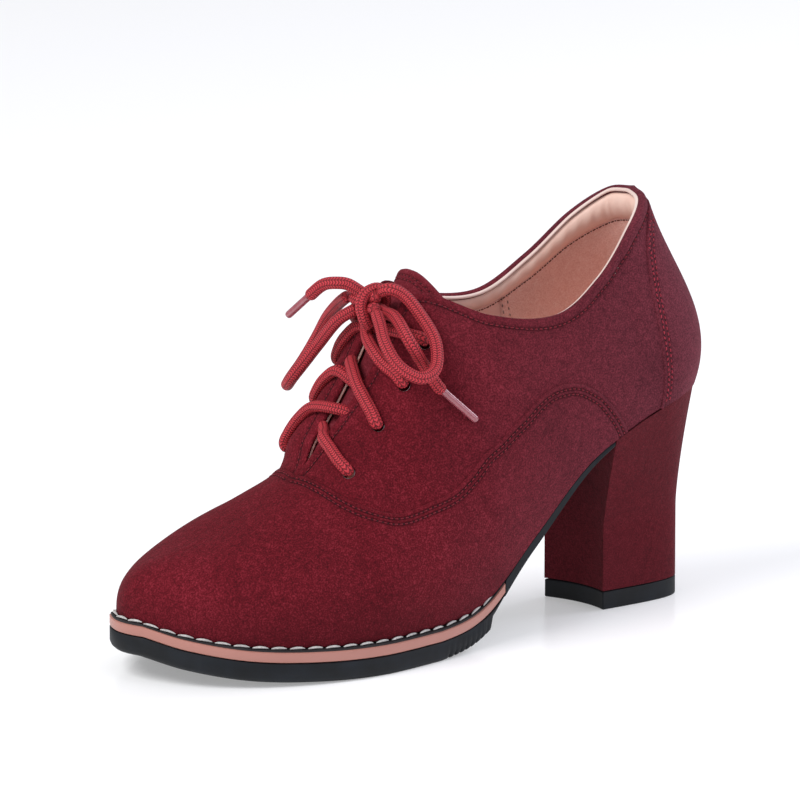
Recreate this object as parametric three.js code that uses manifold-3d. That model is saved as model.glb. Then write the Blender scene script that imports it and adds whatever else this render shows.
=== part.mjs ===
// A left lace-up shoe on a block heel: +X points to the toe, +Y to the wearer's left, +Z up.
import * as THREE from "three";
import { mergeVertices } from "three/addons/utils/BufferGeometryUtils.js";
import Module from "manifold-3d";

const wasm = await Module();
wasm.setup();

// Driving sizes in millimetres.
const LENGTH = 230; // feather line, from the back of the seat to the toe
const BALL = 77; // feather line across the ball
const SEAT = 79; // height of the seat at its back
const HEIGHT = 148; // top of the collar at the back, above the floor
const WALL = 2; // suede, stiffener and lining together
const LAP = 0.9; // how far the vamp and the back counter stand proud of the quarters
const GAP = 0.3; // clearance between pieces
const OUTSOLE = 6.8; // outsole under the forefoot
const WELT = 4.4; // runner between the outsole and the upper
const WELT_OUT = 3.3; // how far the runner and the outsole stand out at the ball
const WAIST_OUT = 0.6; // how far the outsole stands out at the waist
const INSOLE = 2.2;
const TONGUE = 2.4;
const TONGUE_RISE = 11.8; // how far the tongue stands above the facings
const TOP_PIECE = 6.6; // lift under the heel
const HEEL_WIDTH = 27; // across the breast, at the floor
const HEEL_LENGTH = 40; // breast to back, at the floor
const HEEL_BACK = 6.5; // back of the heel at the floor, ahead of the back of the seat
const HEEL_OUT = 0.5; // how far the heel stands out under the seat
const BREAST_TURN = 13; // degrees that the breast turns out towards the lateral side
const BREAST_HOLLOW = 2.5;
const LACE = 4.4; // diameter
const EYELET_HOLE = 4.6; // bore of an eyelet
const EYELET_WALL = 0.5;
const EYELET_FLANGE = 0.5; // how far its flange reaches past its barrel

// The feather line, where the upper meets the sole: one row for each pair of points, heel to toe.
// along and the two sides are shares of LENGTH and BALL, rise of SEAT above the forefoot's stack,
// flare is how far the wall leans out there, in degrees, and full how long it keeps that lean.
const FEATHER = [
  { along: 0.0, rise: 1.0, lateral: 0.0, medial: 0.0, flare: 22, full: 0.36 },
  { along: 0.024, rise: 0.99, lateral: 0.185, medial: 0.185, flare: 20, full: 0.36 },
  { along: 0.08, rise: 0.955, lateral: 0.3, medial: 0.295, flare: 16, full: 0.36 },
  { along: 0.165, rise: 0.862, lateral: 0.34, medial: 0.33, flare: 12, full: 0.36 },
  { along: 0.26, rise: 0.69, lateral: 0.345, medial: 0.3, flare: 12, full: 0.36 },
  { along: 0.36, rise: 0.36, lateral: 0.35, medial: 0.25, flare: 14, full: 0.38 },
  { along: 0.455, rise: 0.075, lateral: 0.38, medial: 0.25, flare: 17, full: 0.42 },
  { along: 0.56, rise: 0.0, lateral: 0.44, medial: 0.33, flare: 17, full: 0.46 },
  { along: 0.67, rise: 0.0, lateral: 0.487, medial: 0.43, flare: 15, full: 0.5 },
  { along: 0.775, rise: 0.012, lateral: 0.457, medial: 0.48, flare: 12, full: 0.5 },
  { along: 0.88, rise: 0.04, lateral: 0.34, medial: 0.443, flare: 9, full: 0.48 },
  { along: 0.96, rise: 0.095, lateral: 0.15, medial: 0.315, flare: 5, full: 0.46 },
  { along: 1.0, rise: 0.145, lateral: -0.1, medial: 0.1, flare: 3, full: 0.45 },
];
const TOE = FEATHER.length - 1; // the rib that stands on the tip of the toe

// The line on which the ribs end: the topline, the facings and, ahead of the throat, the closed
// ridge. along and up are shares of LENGTH and HEIGHT, side of BALL, lean is the rib's lean
// inwards there in degrees, crown the share of its length over which it keeps that lean.
const EDGE = [
  { rib: 0, along: 0.09, up: 1.0, side: 0.0, lean: 18, crown: 0.36 },
  { rib: 1, along: 0.106, up: 0.985, side: 0.15, lean: 14, crown: 0.36 },
  { rib: 2, along: 0.157, up: 0.925, side: 0.25, lean: 12, crown: 0.36 },
  { rib: 3, along: 0.228, up: 0.828, side: 0.31, lean: 12, crown: 0.36 },
  { rib: 4, along: 0.313, up: 0.76, side: 0.33, lean: 16, crown: 0.36 },
  { rib: 5, along: 0.43, up: 0.783, side: 0.29, lean: 32, crown: 0.34 },
  { rib: 5.6, along: 0.515, up: 0.84, side: 0.165, lean: 45, crown: 0.3 },
  { rib: 5.85, along: 0.546, up: 0.826, side: 0.115, lean: 52, crown: 0.28 },
  { rib: 6.1, along: 0.568, up: 0.75, side: 0.085, lean: 58, crown: 0.26 },
  { rib: 6.6, along: 0.602, up: 0.655, side: 0.075, lean: 66, crown: 0.26 },
  { rib: 7.2, along: 0.64, up: 0.576, side: 0.055, lean: 74, crown: 0.26 },
  { rib: 7.8, along: 0.68, up: 0.502, side: 0.035, lean: 82, crown: 0.28 },
  { rib: 8.3, along: 0.711, up: 0.438, side: 0.0, lean: 90, crown: 0.3 },
  { rib: 9.2, along: 0.765, up: 0.393, side: 0.0, lean: 90, crown: 0.36 },
  { rib: 10.3, along: 0.815, up: 0.353, side: 0.0, lean: 90, crown: 0.44 },
  { rib: 12, along: 0.848, up: 0.327, side: 0.0, lean: 90, crown: 0.5 },
];
const THROAT = 8.3; // rib at the foot of the facings

const CORNER = 5.75; // rib at the facing's top corner

// The vamp's upper edge: rib, and the share of that rib's height that the vamp covers.
const VAMP = [
  { rib: 3.25, share: 0.02 },
  { rib: 3.45, share: 0.21 },
  { rib: 3.64, share: 0.39 },
  { rib: 3.94, share: 0.55 },
  { rib: 4.27, share: 0.61 },
  { rib: 4.6, share: 0.605 },
  { rib: 5.08, share: 0.526 },
  { rib: 5.6, share: 0.43 },
  { rib: 6.26, share: 0.41 },
  { rib: 6.9, share: 0.43 },
  { rib: 7.37, share: 0.446 },
  { rib: 7.62, share: 0.478 },
  { rib: 7.91, share: 0.559 },
  { rib: 8.12, share: 0.674 },
  { rib: 8.26, share: 0.819 },
  { rib: 8.4, share: 1 },
];

// Front edge of the back counter: share of the height, and the rib at that height.
const COUNTER = [
  { share: 0.015, rib: 2.5 },
  { share: 0.31, rib: 2.35 },
  { share: 0.58, rib: 2.1 },
  { share: 0.75, rib: 1.86 },
  { share: 0.9, rib: 1.5 },
  { share: 0.985, rib: 0.9 },
];

// Eyelets on each facing, from the throat up: rib, and share of its height.
const EYELETS = [
  { rib: 7.82, share: 0.738 },
  { rib: 6.98, share: 0.796 },
  { rib: 6.31, share: 0.81 },
  { rib: 5.89, share: 0.822 },
];

const STACK = OUTSOLE + WELT + 2 * GAP; // forefoot's height under the upper
const WELT_END = 5.65; // rib where the runner ends
const PAD_END = 5.98; // rib where the thick forefoot part of the outsole ends
const BREAST = 3.48; // rib at the heel breast

// How deep the outsole's underside lies under the feather line along the waist, in outsoles.
const WAIST = [
  { rib: BREAST, depth: 0.36 },
  { rib: 4.4, depth: 0.66 },
  { rib: 5.3, depth: 0.82 },
  { rib: WELT_END, depth: 0.96 },
  { rib: PAD_END, depth: 1.24 },
];
const TREAD = { ribs: 5, end: 6.75, depth: 0.9 }; // cross ribs at the rear end of the pad

const suede = (name) =>
  new THREE.MeshStandardMaterial({ name, color: 0x74222e, roughness: 0.95, metalness: 0 });
const MATERIALS = {
  suede: suede("faux_suede"),
  heelSuede: suede("heel_suede"),
  rubber: new THREE.MeshStandardMaterial({ name: "rubber", color: 0x1f2328, roughness: 0.6 }),
  tan: new THREE.MeshStandardMaterial({ name: "runner", color: 0xb17c70, roughness: 0.55 }),
  tongue: new THREE.MeshStandardMaterial({ name: "tongue", color: 0x8c3842, roughness: 0.9 }),
  lining: new THREE.MeshStandardMaterial({ name: "lining", color: 0xc79a88, roughness: 0.7 }),
  metal: new THREE.MeshStandardMaterial({ name: "metal", color: 0xb8b0ae, roughness: 0.3, metalness: 1 }),
  cord: new THREE.MeshStandardMaterial({ name: "cord", color: 0xa8323c, roughness: 0.8 }),
  clear: new THREE.MeshStandardMaterial({ name: "clear", color: 0xc07078, roughness: 0.2 }),
};

// Smooth curve through four values of which it runs between the middle two.
function spline(a, b, c, d, t) {
  return b + 0.5 * t * (c - a + t * (2 * a - 5 * b + 4 * c - d + t * (3 * (b - c) + d - a)));
}

// A table's column at a place between its rows, by the rows' own key.
function lookUp(rows, key, column, at) {
  let i = 0;
  while (i < rows.length - 2 && at > rows[i + 1][key]) i++;
  const [a, b] = [rows[i], rows[i + 1]];
  const width = b[key] - a[key];
  const t = THREE.MathUtils.clamp((at - a[key]) / width, 0, 1);
  const slope = (j) => {
    const [p, q] = [rows[Math.max(j - 1, 0)], rows[Math.min(j + 1, rows.length - 1)]];
    return (q[column] - p[column]) / (q[key] - p[key]);
  };
  const [m, n] = [slope(i) * width, slope(i + 1) * width];
  const [t2, t3] = [t * t, t * t * t];
  const between = a[column] * (2 * t3 - 3 * t2 + 1) + b[column] * (3 * t2 - 2 * t3);
  return between + m * (t3 - 2 * t2 + t) + n * (t3 - t2);
}

// A column of the feather line at rib s, positive on the lateral side and negative on the medial.
function feather(column, s) {
  const ring = 2 * TOE;
  const value = (j) => {
    const k = ((j % ring) + ring) % ring;
    const row = FEATHER[k <= TOE ? k : ring - k];
    if (column !== "across") return row[column];
    return k <= TOE ? row.lateral : -row.medial;
  };
  const i = Math.floor(s);
  return spline(value(i - 1), value(i), value(i + 1), value(i + 2), s - i);
}

// Height of the feather line at a distance from the back of the seat.
function footHeight(x) {
  return STACK + (SEAT - STACK) * Math.max(lookUp(FEATHER, "along", "rise", x / LENGTH), 0);
}

function footPoint(s) {
  const x = LENGTH * feather("along", s);
  return new THREE.Vector3(x, BALL * feather("across", s), footHeight(x));
}

// Horizontal direction out of the shoe at rib s.
function outward(s) {
  const step = 0.02;
  const t = footPoint(s + step).sub(footPoint(s - step));
  return new THREE.Vector3(-t.y, t.x, 0).normalize();
}

const edge = (column, s) => lookUp(EDGE, "rib", column, Math.abs(s));

function edgePoint(s) {
  const side = Math.sign(s) * Math.max(edge("side", s), 0);
  const shut = Math.abs(s) >= THROAT ? 0 : 1;
  return new THREE.Vector3(LENGTH * edge("along", s), BALL * side * shut, HEIGHT * edge("up", s));
}

// Direction of the ridge towards the throat.
function ridgeTangent(s) {
  const a = Math.min(Math.abs(s), TOE - 0.2);
  return edgePoint(a - 0.1).sub(edgePoint(a + 0.1)).setY(0).normalize();
}

// Direction in which rib s arrives at its end: up and inwards, and at the toe back along the ridge.
function arrival(s) {
  const a = Math.abs(s);
  const lean = THREE.MathUtils.degToRad(edge("lean", s));
  const heelShare = 1 - THREE.MathUtils.smoothstep(a, 0.5, 4);
  const inward = new THREE.Vector3(0, -Math.sign(s), 0).lerp(outward(s).negate(), heelShare).normalize();
  const fan = THREE.MathUtils.smoothstep(a, TOE - 3, TOE) * (Math.PI / 2);
  inward.multiplyScalar(Math.cos(fan)).addScaledVector(ridgeTangent(s), Math.sin(fan));
  return inward.multiplyScalar(Math.sin(lean)).add(new THREE.Vector3(0, 0, Math.cos(lean))).normalize();
}

// The four control points of rib s.
function ribControls(s) {
  const [foot, end] = [footPoint(s), edgePoint(s)];
  const rise = foot.distanceTo(end);
  const flare = THREE.MathUtils.degToRad(feather("flare", s));
  const start = outward(s).multiplyScalar(Math.sin(flare));
  start.z = Math.cos(flare);
  return [
    foot,
    foot.clone().addScaledVector(start, rise * feather("full", s)),
    end.clone().addScaledVector(arrival(s), -rise * edge("crown", s)),
    end,
  ];
}

function bezier(points, v) {
  const w = 1 - v;
  return points[0].clone().multiplyScalar(w * w * w)
    .addScaledVector(points[1], 3 * w * w * v)
    .addScaledVector(points[2], 3 * w * v * v)
    .addScaledVector(points[3], v * v * v);
}

// The point of the upper's outer face at rib s and share v of its height, moved out by depth.
function onUpper(s, v, depth = 0) {
  const point = bezier(ribControls(s), v);
  if (depth === 0) return point;
  return point.addScaledVector(upperNormal(s, v), depth);
}

// Whether rib s meets its fellow from the other side at share v.
const onRidge = (s, v) => v > 0.999 && Math.abs(s) >= THROAT;

function upperNormal(s, v) {
  const step = 0.01;
  if (onRidge(s, v)) {
    const along = ridgeTangent(s);
    return new THREE.Vector3(along.z, 0, -along.x).normalize();
  }
  const [low, high] = [Math.max(v - step, 0), Math.min(v + step, 1)];
  const rise = bezier(ribControls(s), high).sub(bezier(ribControls(s), low));
  const round = bezier(ribControls(s + step), v).sub(bezier(ribControls(s - step), v));
  return rise.cross(round).normalize();
}

// Evenly spaced values from one end to the other, and whole numbers from zero.
function range(from, to, steps) {
  return Array.from({ length: steps + 1 }, (_, i) => from + ((to - from) * i) / steps);
}
const counted = (count) => Array.from({ length: count }, (_, i) => i);

const mirrored = (ribs) => [...ribs.map((s) => -s).reverse(), ...ribs.slice(ribs[0] === 0 ? 1 : 0)];

// A mesh from triangles of points, with equal points joined and collapsed triangles dropped.
function meshOf(name, material, triangles) {
  const loose = new THREE.BufferGeometry();
  const values = triangles.flatMap((corners) => corners.flatMap((p) => [p.x, p.y, p.z]));
  loose.setAttribute("position", new THREE.Float32BufferAttribute(values, 3));
  const geometry = mergeVertices(loose, 1e-3);
  const index = geometry.index.array;
  const kept = [];
  for (let i = 0; i < index.length; i += 3) {
    const [a, b, c] = index.slice(i, i + 3);
    if (a !== b && b !== c && c !== a) kept.push(a, b, c);
  }
  geometry.setIndex(kept);
  geometry.computeVertexNormals();
  const mesh = new THREE.Mesh(geometry, material);
  mesh.name = name;
  return mesh;
}

const quad = (a, b, c, d) => [[a, b, c], [a, c, d]];

// The two faces and the rims of a sheet: place(i, j) gives rib and share, ring closes the columns.
function sheet(columns, rows, place, outer, inner, ring) {
  const grid = (depth) =>
    counted(columns + 1).map((i) =>
      counted(rows + 1).map((j) => {
        const [s, v] = place(ring && i === columns ? 0 : i, j);
        return onUpper(s, v, depth);
      }),
    );
  const [out, into] = [grid(outer), grid(inner)];
  const triangles = [];
  for (let i = 0; i < columns; i++) {
    const [outHere, outNext, inHere, inNext] = [out[i], out[i + 1], into[i], into[i + 1]];
    for (let j = 0; j < rows; j++) {
      triangles.push(...quad(outHere[j], outHere[j + 1], outNext[j + 1], outNext[j]));
      triangles.push(...quad(inHere[j], inNext[j], inNext[j + 1], inHere[j + 1]));
    }
    triangles.push(...quad(outHere[0], outNext[0], inNext[0], inHere[0]));
    const shut = onRidge(...place(i, rows)) && onRidge(...place(i + 1, rows));
    if (!shut) triangles.push(...quad(outHere[rows], inHere[rows], inNext[rows], outNext[rows]));
  }
  for (let j = 0; j < rows && !ring; j++) {
    const n = columns;
    triangles.push(...quad(out[0][j], into[0][j], into[0][j + 1], out[0][j + 1]));
    triangles.push(...quad(out[n][j], out[n][j + 1], into[n][j + 1], into[n][j]));
  }
  return triangles;
}

// A solid between level 0, on top, and the last level: place(level, k, w) gives a point, k from
// the back or the cut end to the front, w across from the lateral side to the medial.
function loft(name, material, levels, n, across, place) {
  const grid = counted(levels + 1).map((l) =>
    counted(n + 1).map((k) => counted(across + 1).map((w) => place(l, k, w))),
  );
  const triangles = [];
  for (let k = 0; k < n; k++) {
    for (let w = 0; w < across; w++) {
      const [top, low] = [grid[0], grid[levels]];
      triangles.push(...quad(top[k][w], top[k][w + 1], top[k + 1][w + 1], top[k + 1][w]));
      triangles.push(...quad(low[k][w], low[k + 1][w], low[k + 1][w + 1], low[k][w + 1]));
    }
  }
  for (let l = 0; l < levels; l++) {
    const [top, low] = [grid[l], grid[l + 1]];
    for (let k = 0; k < n; k++) {
      triangles.push(...quad(top[k][0], top[k + 1][0], low[k + 1][0], low[k][0]));
      triangles.push(...quad(top[k][across], low[k][across], low[k + 1][across], top[k + 1][across]));
    }
    for (let w = 0; w < across; w++) {
      triangles.push(...quad(top[0][w], low[0][w], low[0][w + 1], top[0][w + 1]));
      triangles.push(...quad(top[n][w], top[n][w + 1], low[n][w + 1], low[n][w]));
    }
  }
  return meshOf(name, material, triangles);
}

function solidOf(mesh) {
  const { position } = mesh.geometry.attributes;
  const triVerts = new Uint32Array(mesh.geometry.index.array);
  return new wasm.Manifold(new wasm.Mesh({ numProp: 3, vertProperties: position.array, triVerts }));
}

function meshFrom(name, material, solid) {
  const { vertProperties, triVerts } = solid.getMesh();
  const geometry = new THREE.BufferGeometry();
  geometry.setAttribute("position", new THREE.BufferAttribute(vertProperties, 3));
  geometry.setIndex(new THREE.BufferAttribute(triVerts, 1));
  geometry.computeVertexNormals();
  const mesh = new THREE.Mesh(geometry, material);
  mesh.name = name;
  return mesh;
}

// Ribs at which the outlines are cut, heel to toe, with one at each place that a piece ends.
const RIBS = [
  ...range(0, BREAST, 10).slice(0, -1),
  ...range(BREAST, WELT_END, 8),
  CORNER,
  ...range(PAD_END, THROAT, 9).slice(0, -1),
  ...range(THROAT, TOE, 14),
];
const WALL_ROWS = 11;
const VAMP_ROWS = 7;

// The quarters' wall, all the way round.
function wallSheet() {
  const ring = mirrored(RIBS);
  return sheet(ring.length - 1, WALL_ROWS, (i, j) => [ring[i], j / WALL_ROWS], 0, -WALL, true);
}

// The vamp, lapped on the wall: from the lateral side round the toe to the medial side.
function vampSheet() {
  const last = VAMP[VAMP.length - 1].rib;
  const side = [...VAMP.map((row) => row.rib), ...RIBS.filter((s) => s > last)];
  const ribs = [...side, ...side.slice(0, -1).map((s) => -s).reverse()];
  const low = VAMP[0].share / 2;
  const covered = (s) => (s >= last ? 1 : lookUp(VAMP, "rib", "share", s));
  const share = (s, j) => THREE.MathUtils.lerp(low, covered(Math.abs(s)), j / VAMP_ROWS);
  return sheet(ribs.length - 1, VAMP_ROWS, (i, j) => [ribs[i], share(ribs[i], j)], LAP, -WALL / 2, false);
}

// The back counter, lapped on the wall round the heel.
function counterSheet() {
  const [columns, rows] = [12, 8];
  const [low, high] = [COUNTER[0].share, COUNTER[COUNTER.length - 1].share];
  const place = (i, j) => {
    const share = THREE.MathUtils.lerp(low, high, j / rows);
    return [lookUp(COUNTER, "share", "rib", share) * ((2 * i) / columns - 1), share];
  };
  return sheet(columns, rows, place, LAP, -WALL / 2, false);
}

function upper() {
  const [wall, vamp, counter] = [wallSheet(), vampSheet(), counterSheet()].map((triangles) =>
    solidOf(meshOf("layer", MATERIALS.suede, triangles)),
  );
  return meshFrom("upper", MATERIALS.suede, punched(wall.add(vamp).add(counter)));
}

// A point of the sole's outline at rib s, moved out by margin, and a height above the feather line.
function solePoint(s, margin, height) {
  const point = footPoint(s).addScaledVector(outward(s), margin);
  return point.setZ(footHeight(point.x) + height);
}

// A slab of the sole. Each stop has its rib, its margin, and its top and bottom, as heights above
// the feather line.
function slab(name, material, stops) {
  return loft(name, material, 1, stops.length - 1, 1, (level, k, w) => {
    const stop = stops[k];
    return solePoint(w === 0 ? stop.rib : -stop.rib, stop.margin, level === 0 ? stop.top : stop.bottom);
  });
}

const RIB_GAP = (GAP * TOE) / LENGTH; // the clearance, in ribs
const soleMargin = (s) => THREE.MathUtils.lerp(WAIST_OUT, WELT_OUT, THREE.MathUtils.smoothstep(s, 5.2, 7));

function outsole() {
  const waist = (s) => {
    const depth = OUTSOLE * lookUp(WAIST, "rib", "depth", s);
    return { rib: s, margin: soleMargin(s), top: -GAP, bottom: -depth };
  };
  const pad = (s, notch = 0) => {
    return { rib: s, margin: soleMargin(s), top: -WELT - 2 * GAP, bottom: notch - STACK };
  };
  const step = WELT_END - RIB_GAP;
  const pitch = (TREAD.end - PAD_END) / TREAD.ribs;
  const tread = counted(TREAD.ribs).flatMap((i) => {
    const at = (share) => PAD_END + (i + share) * pitch;
    return [pad(at(0)), pad(at(0.5)), pad(at(0.6), TREAD.depth), pad(at(0.9), TREAD.depth)];
  });
  const thin = [WELT_END, CORNER, PAD_END].map((s) => ({ ...waist(s), top: pad(s).top }));
  const stops = [
    ...RIBS.filter((s) => s >= BREAST && s < WELT_END).map(waist),
    waist(step),
    { ...waist(step), top: pad(step).top },
    ...thin,
    ...tread,
    ...RIBS.filter((s) => s > TREAD.end).map((s) => pad(s)),
  ];
  return slab("outsole", MATERIALS.rubber, stops);
}

function welt() {
  const stops = RIBS.filter((s) => s >= WELT_END);
  return slab(
    "welt",
    MATERIALS.tan,
    stops.map((s) => ({ rib: s, margin: soleMargin(s), top: -GAP, bottom: -GAP - WELT })),
  );
}

function insole() {
  const margin = -WALL - 2 * GAP;
  return slab("insole", MATERIALS.lining, RIBS.map((s) => ({ rib: s, margin, top: INSOLE, bottom: 0 })));
}

// The heel's outline at the floor: t runs from 0 at the back to 1 and -1 at the breast's corners.
function heelFoot(t, z) {
  const squareness = 4;
  const angle = (Math.abs(t) * Math.PI) / 2;
  const turn = Math.tan(THREE.MathUtils.degToRad(BREAST_TURN));
  const y = (Math.sign(t) * HEEL_WIDTH * Math.sin(angle) ** (2 / squareness)) / 2;
  const ahead = 1 - Math.cos(angle) ** (2 / squareness);
  return new THREE.Vector3(HEEL_BACK + (HEEL_LENGTH - turn * y) * ahead, y, z);
}

function breastHollow(k, n, w, across, depth) {
  return k === n ? depth * (1 - (1 - (2 * w) / across) ** 2) : 0;
}

const HEEL_STEPS = 10;
const HEEL_ACROSS = 6;

function heelBlock() {
  const levels = 8;
  const flareHeight = 0.62; // share of the height over which the heel narrows
  return loft("heel_block", MATERIALS.heelSuede, levels, HEEL_STEPS, HEEL_ACROSS, (level, k, w) => {
    const drop = level / levels;
    const ease = 1 - Math.max(1 - drop / flareHeight, 0) ** 1.3;
    const side = (sign) => {
      const rib = (BREAST - 2 * RIB_GAP) * Math.sin(((k / HEEL_STEPS) * Math.PI) / 2);
      const top = solePoint(sign * rib, HEEL_OUT, -GAP);
      const low = heelFoot((sign * k) / HEEL_STEPS, TOP_PIECE + GAP);
      const z = THREE.MathUtils.lerp(top.z, low.z, drop);
      return top.lerp(low, ease).setZ(z);
    };
    const hollow = BREAST_HOLLOW * THREE.MathUtils.smoothstep(drop, 0, 0.3);
    const point = side(1).lerp(side(-1), w / HEEL_ACROSS);
    point.x -= breastHollow(k, HEEL_STEPS, w, HEEL_ACROSS, hollow);
    return point;
  });
}

function topPiece() {
  return loft("heel_top_piece", MATERIALS.rubber, 1, HEEL_STEPS, HEEL_ACROSS, (level, k, w) => {
    const z = level === 0 ? TOP_PIECE : 0;
    const t = k / HEEL_STEPS;
    const point = heelFoot(t, z).lerp(heelFoot(-t, z), w / HEEL_ACROSS);
    point.x -= breastHollow(k, HEEL_STEPS, w, HEEL_ACROSS, BREAST_HOLLOW);
    return point;
  });
}

// The tongue: under both facings, bridged over the throat and rounded off above the corners.
const TONGUE_TOP = 5.3; // rib at which its edge comes out from under the topline
const TONGUE_FOOT = 8.9;
const TONGUE_FLANK = 0.21; // share of the rib that it reaches down inside the facing
const NEAR_EDGE = 0.97; // share of a rib close under the free edge
const TONGUE_BULGE = 1.5; // how far its middle stands forward
const FACING_LINE = new THREE.Vector3(-0.43, 0, 0.9).normalize(); // up along the facings

function tongue() {
  const [flank, bridge] = [2, 10];
  const across = 2 * flank + bridge;
  const stations = [
    ...range(TONGUE_TOP, CORNER, 5).slice(0, -1),
    ...range(CORNER, THROAT, 9).slice(0, -1),
    ...range(THROAT, TONGUE_FOOT, 3),
  ];
  const depth = -(WALL + 4 * GAP);
  const middle = (a) => onUpper(a, NEAR_EDGE, depth).setY(0);
  const outer = stations.map((a) => {
    const above = Math.max(CORNER - a, 0) / (CORNER - TONGUE_TOP);
    const low = NEAR_EDGE - Math.max(TONGUE_FLANK * (1 - above), 0.01);
    const side = (sign, share) => onUpper(sign * a, share, depth);
    const crown = middle(Math.max(a, CORNER)).addScaledVector(FACING_LINE, TONGUE_RISE * above);
    crown.x += TONGUE_BULGE;
    return counted(across + 1).map((w) => {
      const inset = Math.min(w, across - w);
      const t = 1 - (2 * (w - flank)) / bridge;
      if (inset < flank) return side(Math.sign(t), THREE.MathUtils.lerp(low, NEAR_EDGE, inset / flank));
      const base = side(1, NEAR_EDGE).lerp(side(-1, NEAR_EDGE), (1 - t) / 2);
      const raise = 1 - Math.abs(t) ** 2.6;
      base.x = THREE.MathUtils.lerp(base.x, crown.x, raise);
      base.z = THREE.MathUtils.lerp(base.z, crown.z, raise);
      return base;
    });
  });
  return thickened("tongue", MATERIALS.tongue, outer, TONGUE);
}

// A solid under a grid of points, by its thickness: rows from back to front, each from the lateral
// side to the medial.
function thickened(name, material, outer, thickness) {
  const [n, across] = [outer.length - 1, outer[0].length - 1];
  const normal = (k, w) => {
    const along = outer[Math.min(k + 1, n)][w].clone().sub(outer[Math.max(k - 1, 0)][w]);
    const over = outer[k][Math.min(w + 1, across)].clone().sub(outer[k][Math.max(w - 1, 0)]);
    return over.cross(along).normalize();
  };
  return loft(name, material, 1, n, across, (level, k, w) => {
    const point = outer[k][w].clone();
    return level === 0 ? point : point.addScaledVector(normal(k, w), -thickness);
  });
}

// A geometry of positions only, with equal points joined.
function bare(geometry) {
  geometry.deleteAttribute("normal");
  geometry.deleteAttribute("uv");
  return mergeVertices(geometry, 1e-3);
}

const SIDES = 8;

// A rod along points, round with a few flat sides.
function rod(points, diameter, steps) {
  const round = counted(SIDES).map((i) => {
    const angle = (2 * Math.PI * i) / SIDES;
    return new THREE.Vector2(Math.cos(angle), Math.sin(angle)).multiplyScalar(diameter / 2);
  });
  const route = points.map(([x, y, z]) => new THREE.Vector3(x, y, z));
  const extrudePath = new THREE.CatmullRomCurve3(route, false, "centripetal");
  return bare(new THREE.ExtrudeGeometry(new THREE.Shape(round), { steps, extrudePath, bevelEnabled: false }));
}

function rodMesh(name, material, points, diameter, steps) {
  const mesh = new THREE.Mesh(rod(points, diameter, steps), material);
  mesh.name = name;
  return mesh;
}

const EYELET_SIDES = 10;

// An eyelet stands at a rib and a share of it, square to the wall, and goes through it.
function placedEyelet(geometry, row, side) {
  const out = upperNormal(side * row.rib, row.share);
  const turn = new THREE.Quaternion().setFromUnitVectors(new THREE.Vector3(0, 1, 0), out);
  const at = onUpper(side * row.rib, row.share);
  return geometry.applyQuaternion(turn).translate(at.x, at.y, at.z);
}

function eyelets() {
  const [bore, barrel] = [EYELET_HOLE / 2, EYELET_HOLE / 2 + EYELET_WALL];
  const profile = [
    [bore, -WALL],
    [barrel, -WALL],
    [barrel, GAP],
    [barrel + EYELET_FLANGE, GAP],
    [barrel + EYELET_FLANGE, GAP + EYELET_WALL],
    [bore, GAP + EYELET_WALL],
    [bore, -WALL],
  ].map(([r, h]) => new THREE.Vector2(r, h));
  return EYELETS.flatMap((row, i) =>
    [1, -1].map((side) => {
      const ring = bare(new THREE.LatheGeometry(profile, EYELET_SIDES));
      const mesh = new THREE.Mesh(placedEyelet(ring, row, side), MATERIALS.metal);
      mesh.name = `eyelet_${side > 0 ? "lateral" : "medial"}_${i + 1}`;
      return mesh;
    }),
  );
}

// The upper's wall with the eyelets' holes.
function punched(wall) {
  const radius = EYELET_HOLE / 2 + EYELET_WALL + GAP;
  return EYELETS.reduce(
    (left, row) =>
      [1, -1].reduce((part, side) => {
        const pin = bare(new THREE.CylinderGeometry(radius, radius, 6 * WALL, EYELET_SIDES));
        return part.subtract(solidOf(new THREE.Mesh(placedEyelet(pin, row, side))));
      }, left),
    wall,
  );
}

// The rib whose end stands at height z on the facings.
function facingRib(z) {
  let [low, high] = [CORNER, THROAT];
  while (high - low > 1e-4) {
    const middle = (low + high) / 2;
    if (edgePoint(middle).z > z) low = middle;
    else high = middle;
  }
  return low;
}

// A place for the lace's centre: over the edge of a facing at height z, or between both edges.
const overEdge = (side, z) => onUpper(side * facingRib(z), NEAR_EDGE, LACE / 2 + 3 * GAP);

function overThroat(z) {
  const point = overEdge(1, z).setY(0);
  point.x += GAP;
  return point;
}

function overEyelet(side, row) {
  return onUpper(side * row.rib, row.share, LACE / 2 + EYELET_WALL + 5 * GAP);
}

const listed = (points) => points.map((p) => p.toArray());

// The lace over each pair of eyelets: from an eyelet across to the other facing, and its fellow.
function laceCrossing(i) {
  const [here, next] = [EYELETS[i], EYELETS[i + 1]];
  const [from, to] = [here, next].map((row) => onUpper(row.rib, row.share).z);
  const height = (t) => THREE.MathUtils.lerp(from, to, t);
  const strand = (side) => [
    overEyelet(side, here),
    overEdge(side, height(0.35)),
    overThroat(height(0.55)),
    overEdge(-side, height(0.78)),
  ];
  const [one, other] = [1, -1].map((side) => solidOf(new THREE.Mesh(rod(listed(strand(side)), LACE, 7))));
  return meshFrom(`lace_crossing_${i + 1}`, MATERIALS.cord, one.add(other));
}

// The lace from the top eyelets to under the knot.
function laceBar() {
  const row = EYELETS[EYELETS.length - 1];
  const z = onUpper(row.rib, row.share).z + LACE / 2;
  const points = [overEyelet(1, row), overEdge(1, z), overThroat(z), overEdge(-1, z), overEyelet(-1, row)];
  return rodMesh("lace_bar", MATERIALS.cord, listed(points), LACE, 10);
}

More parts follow.
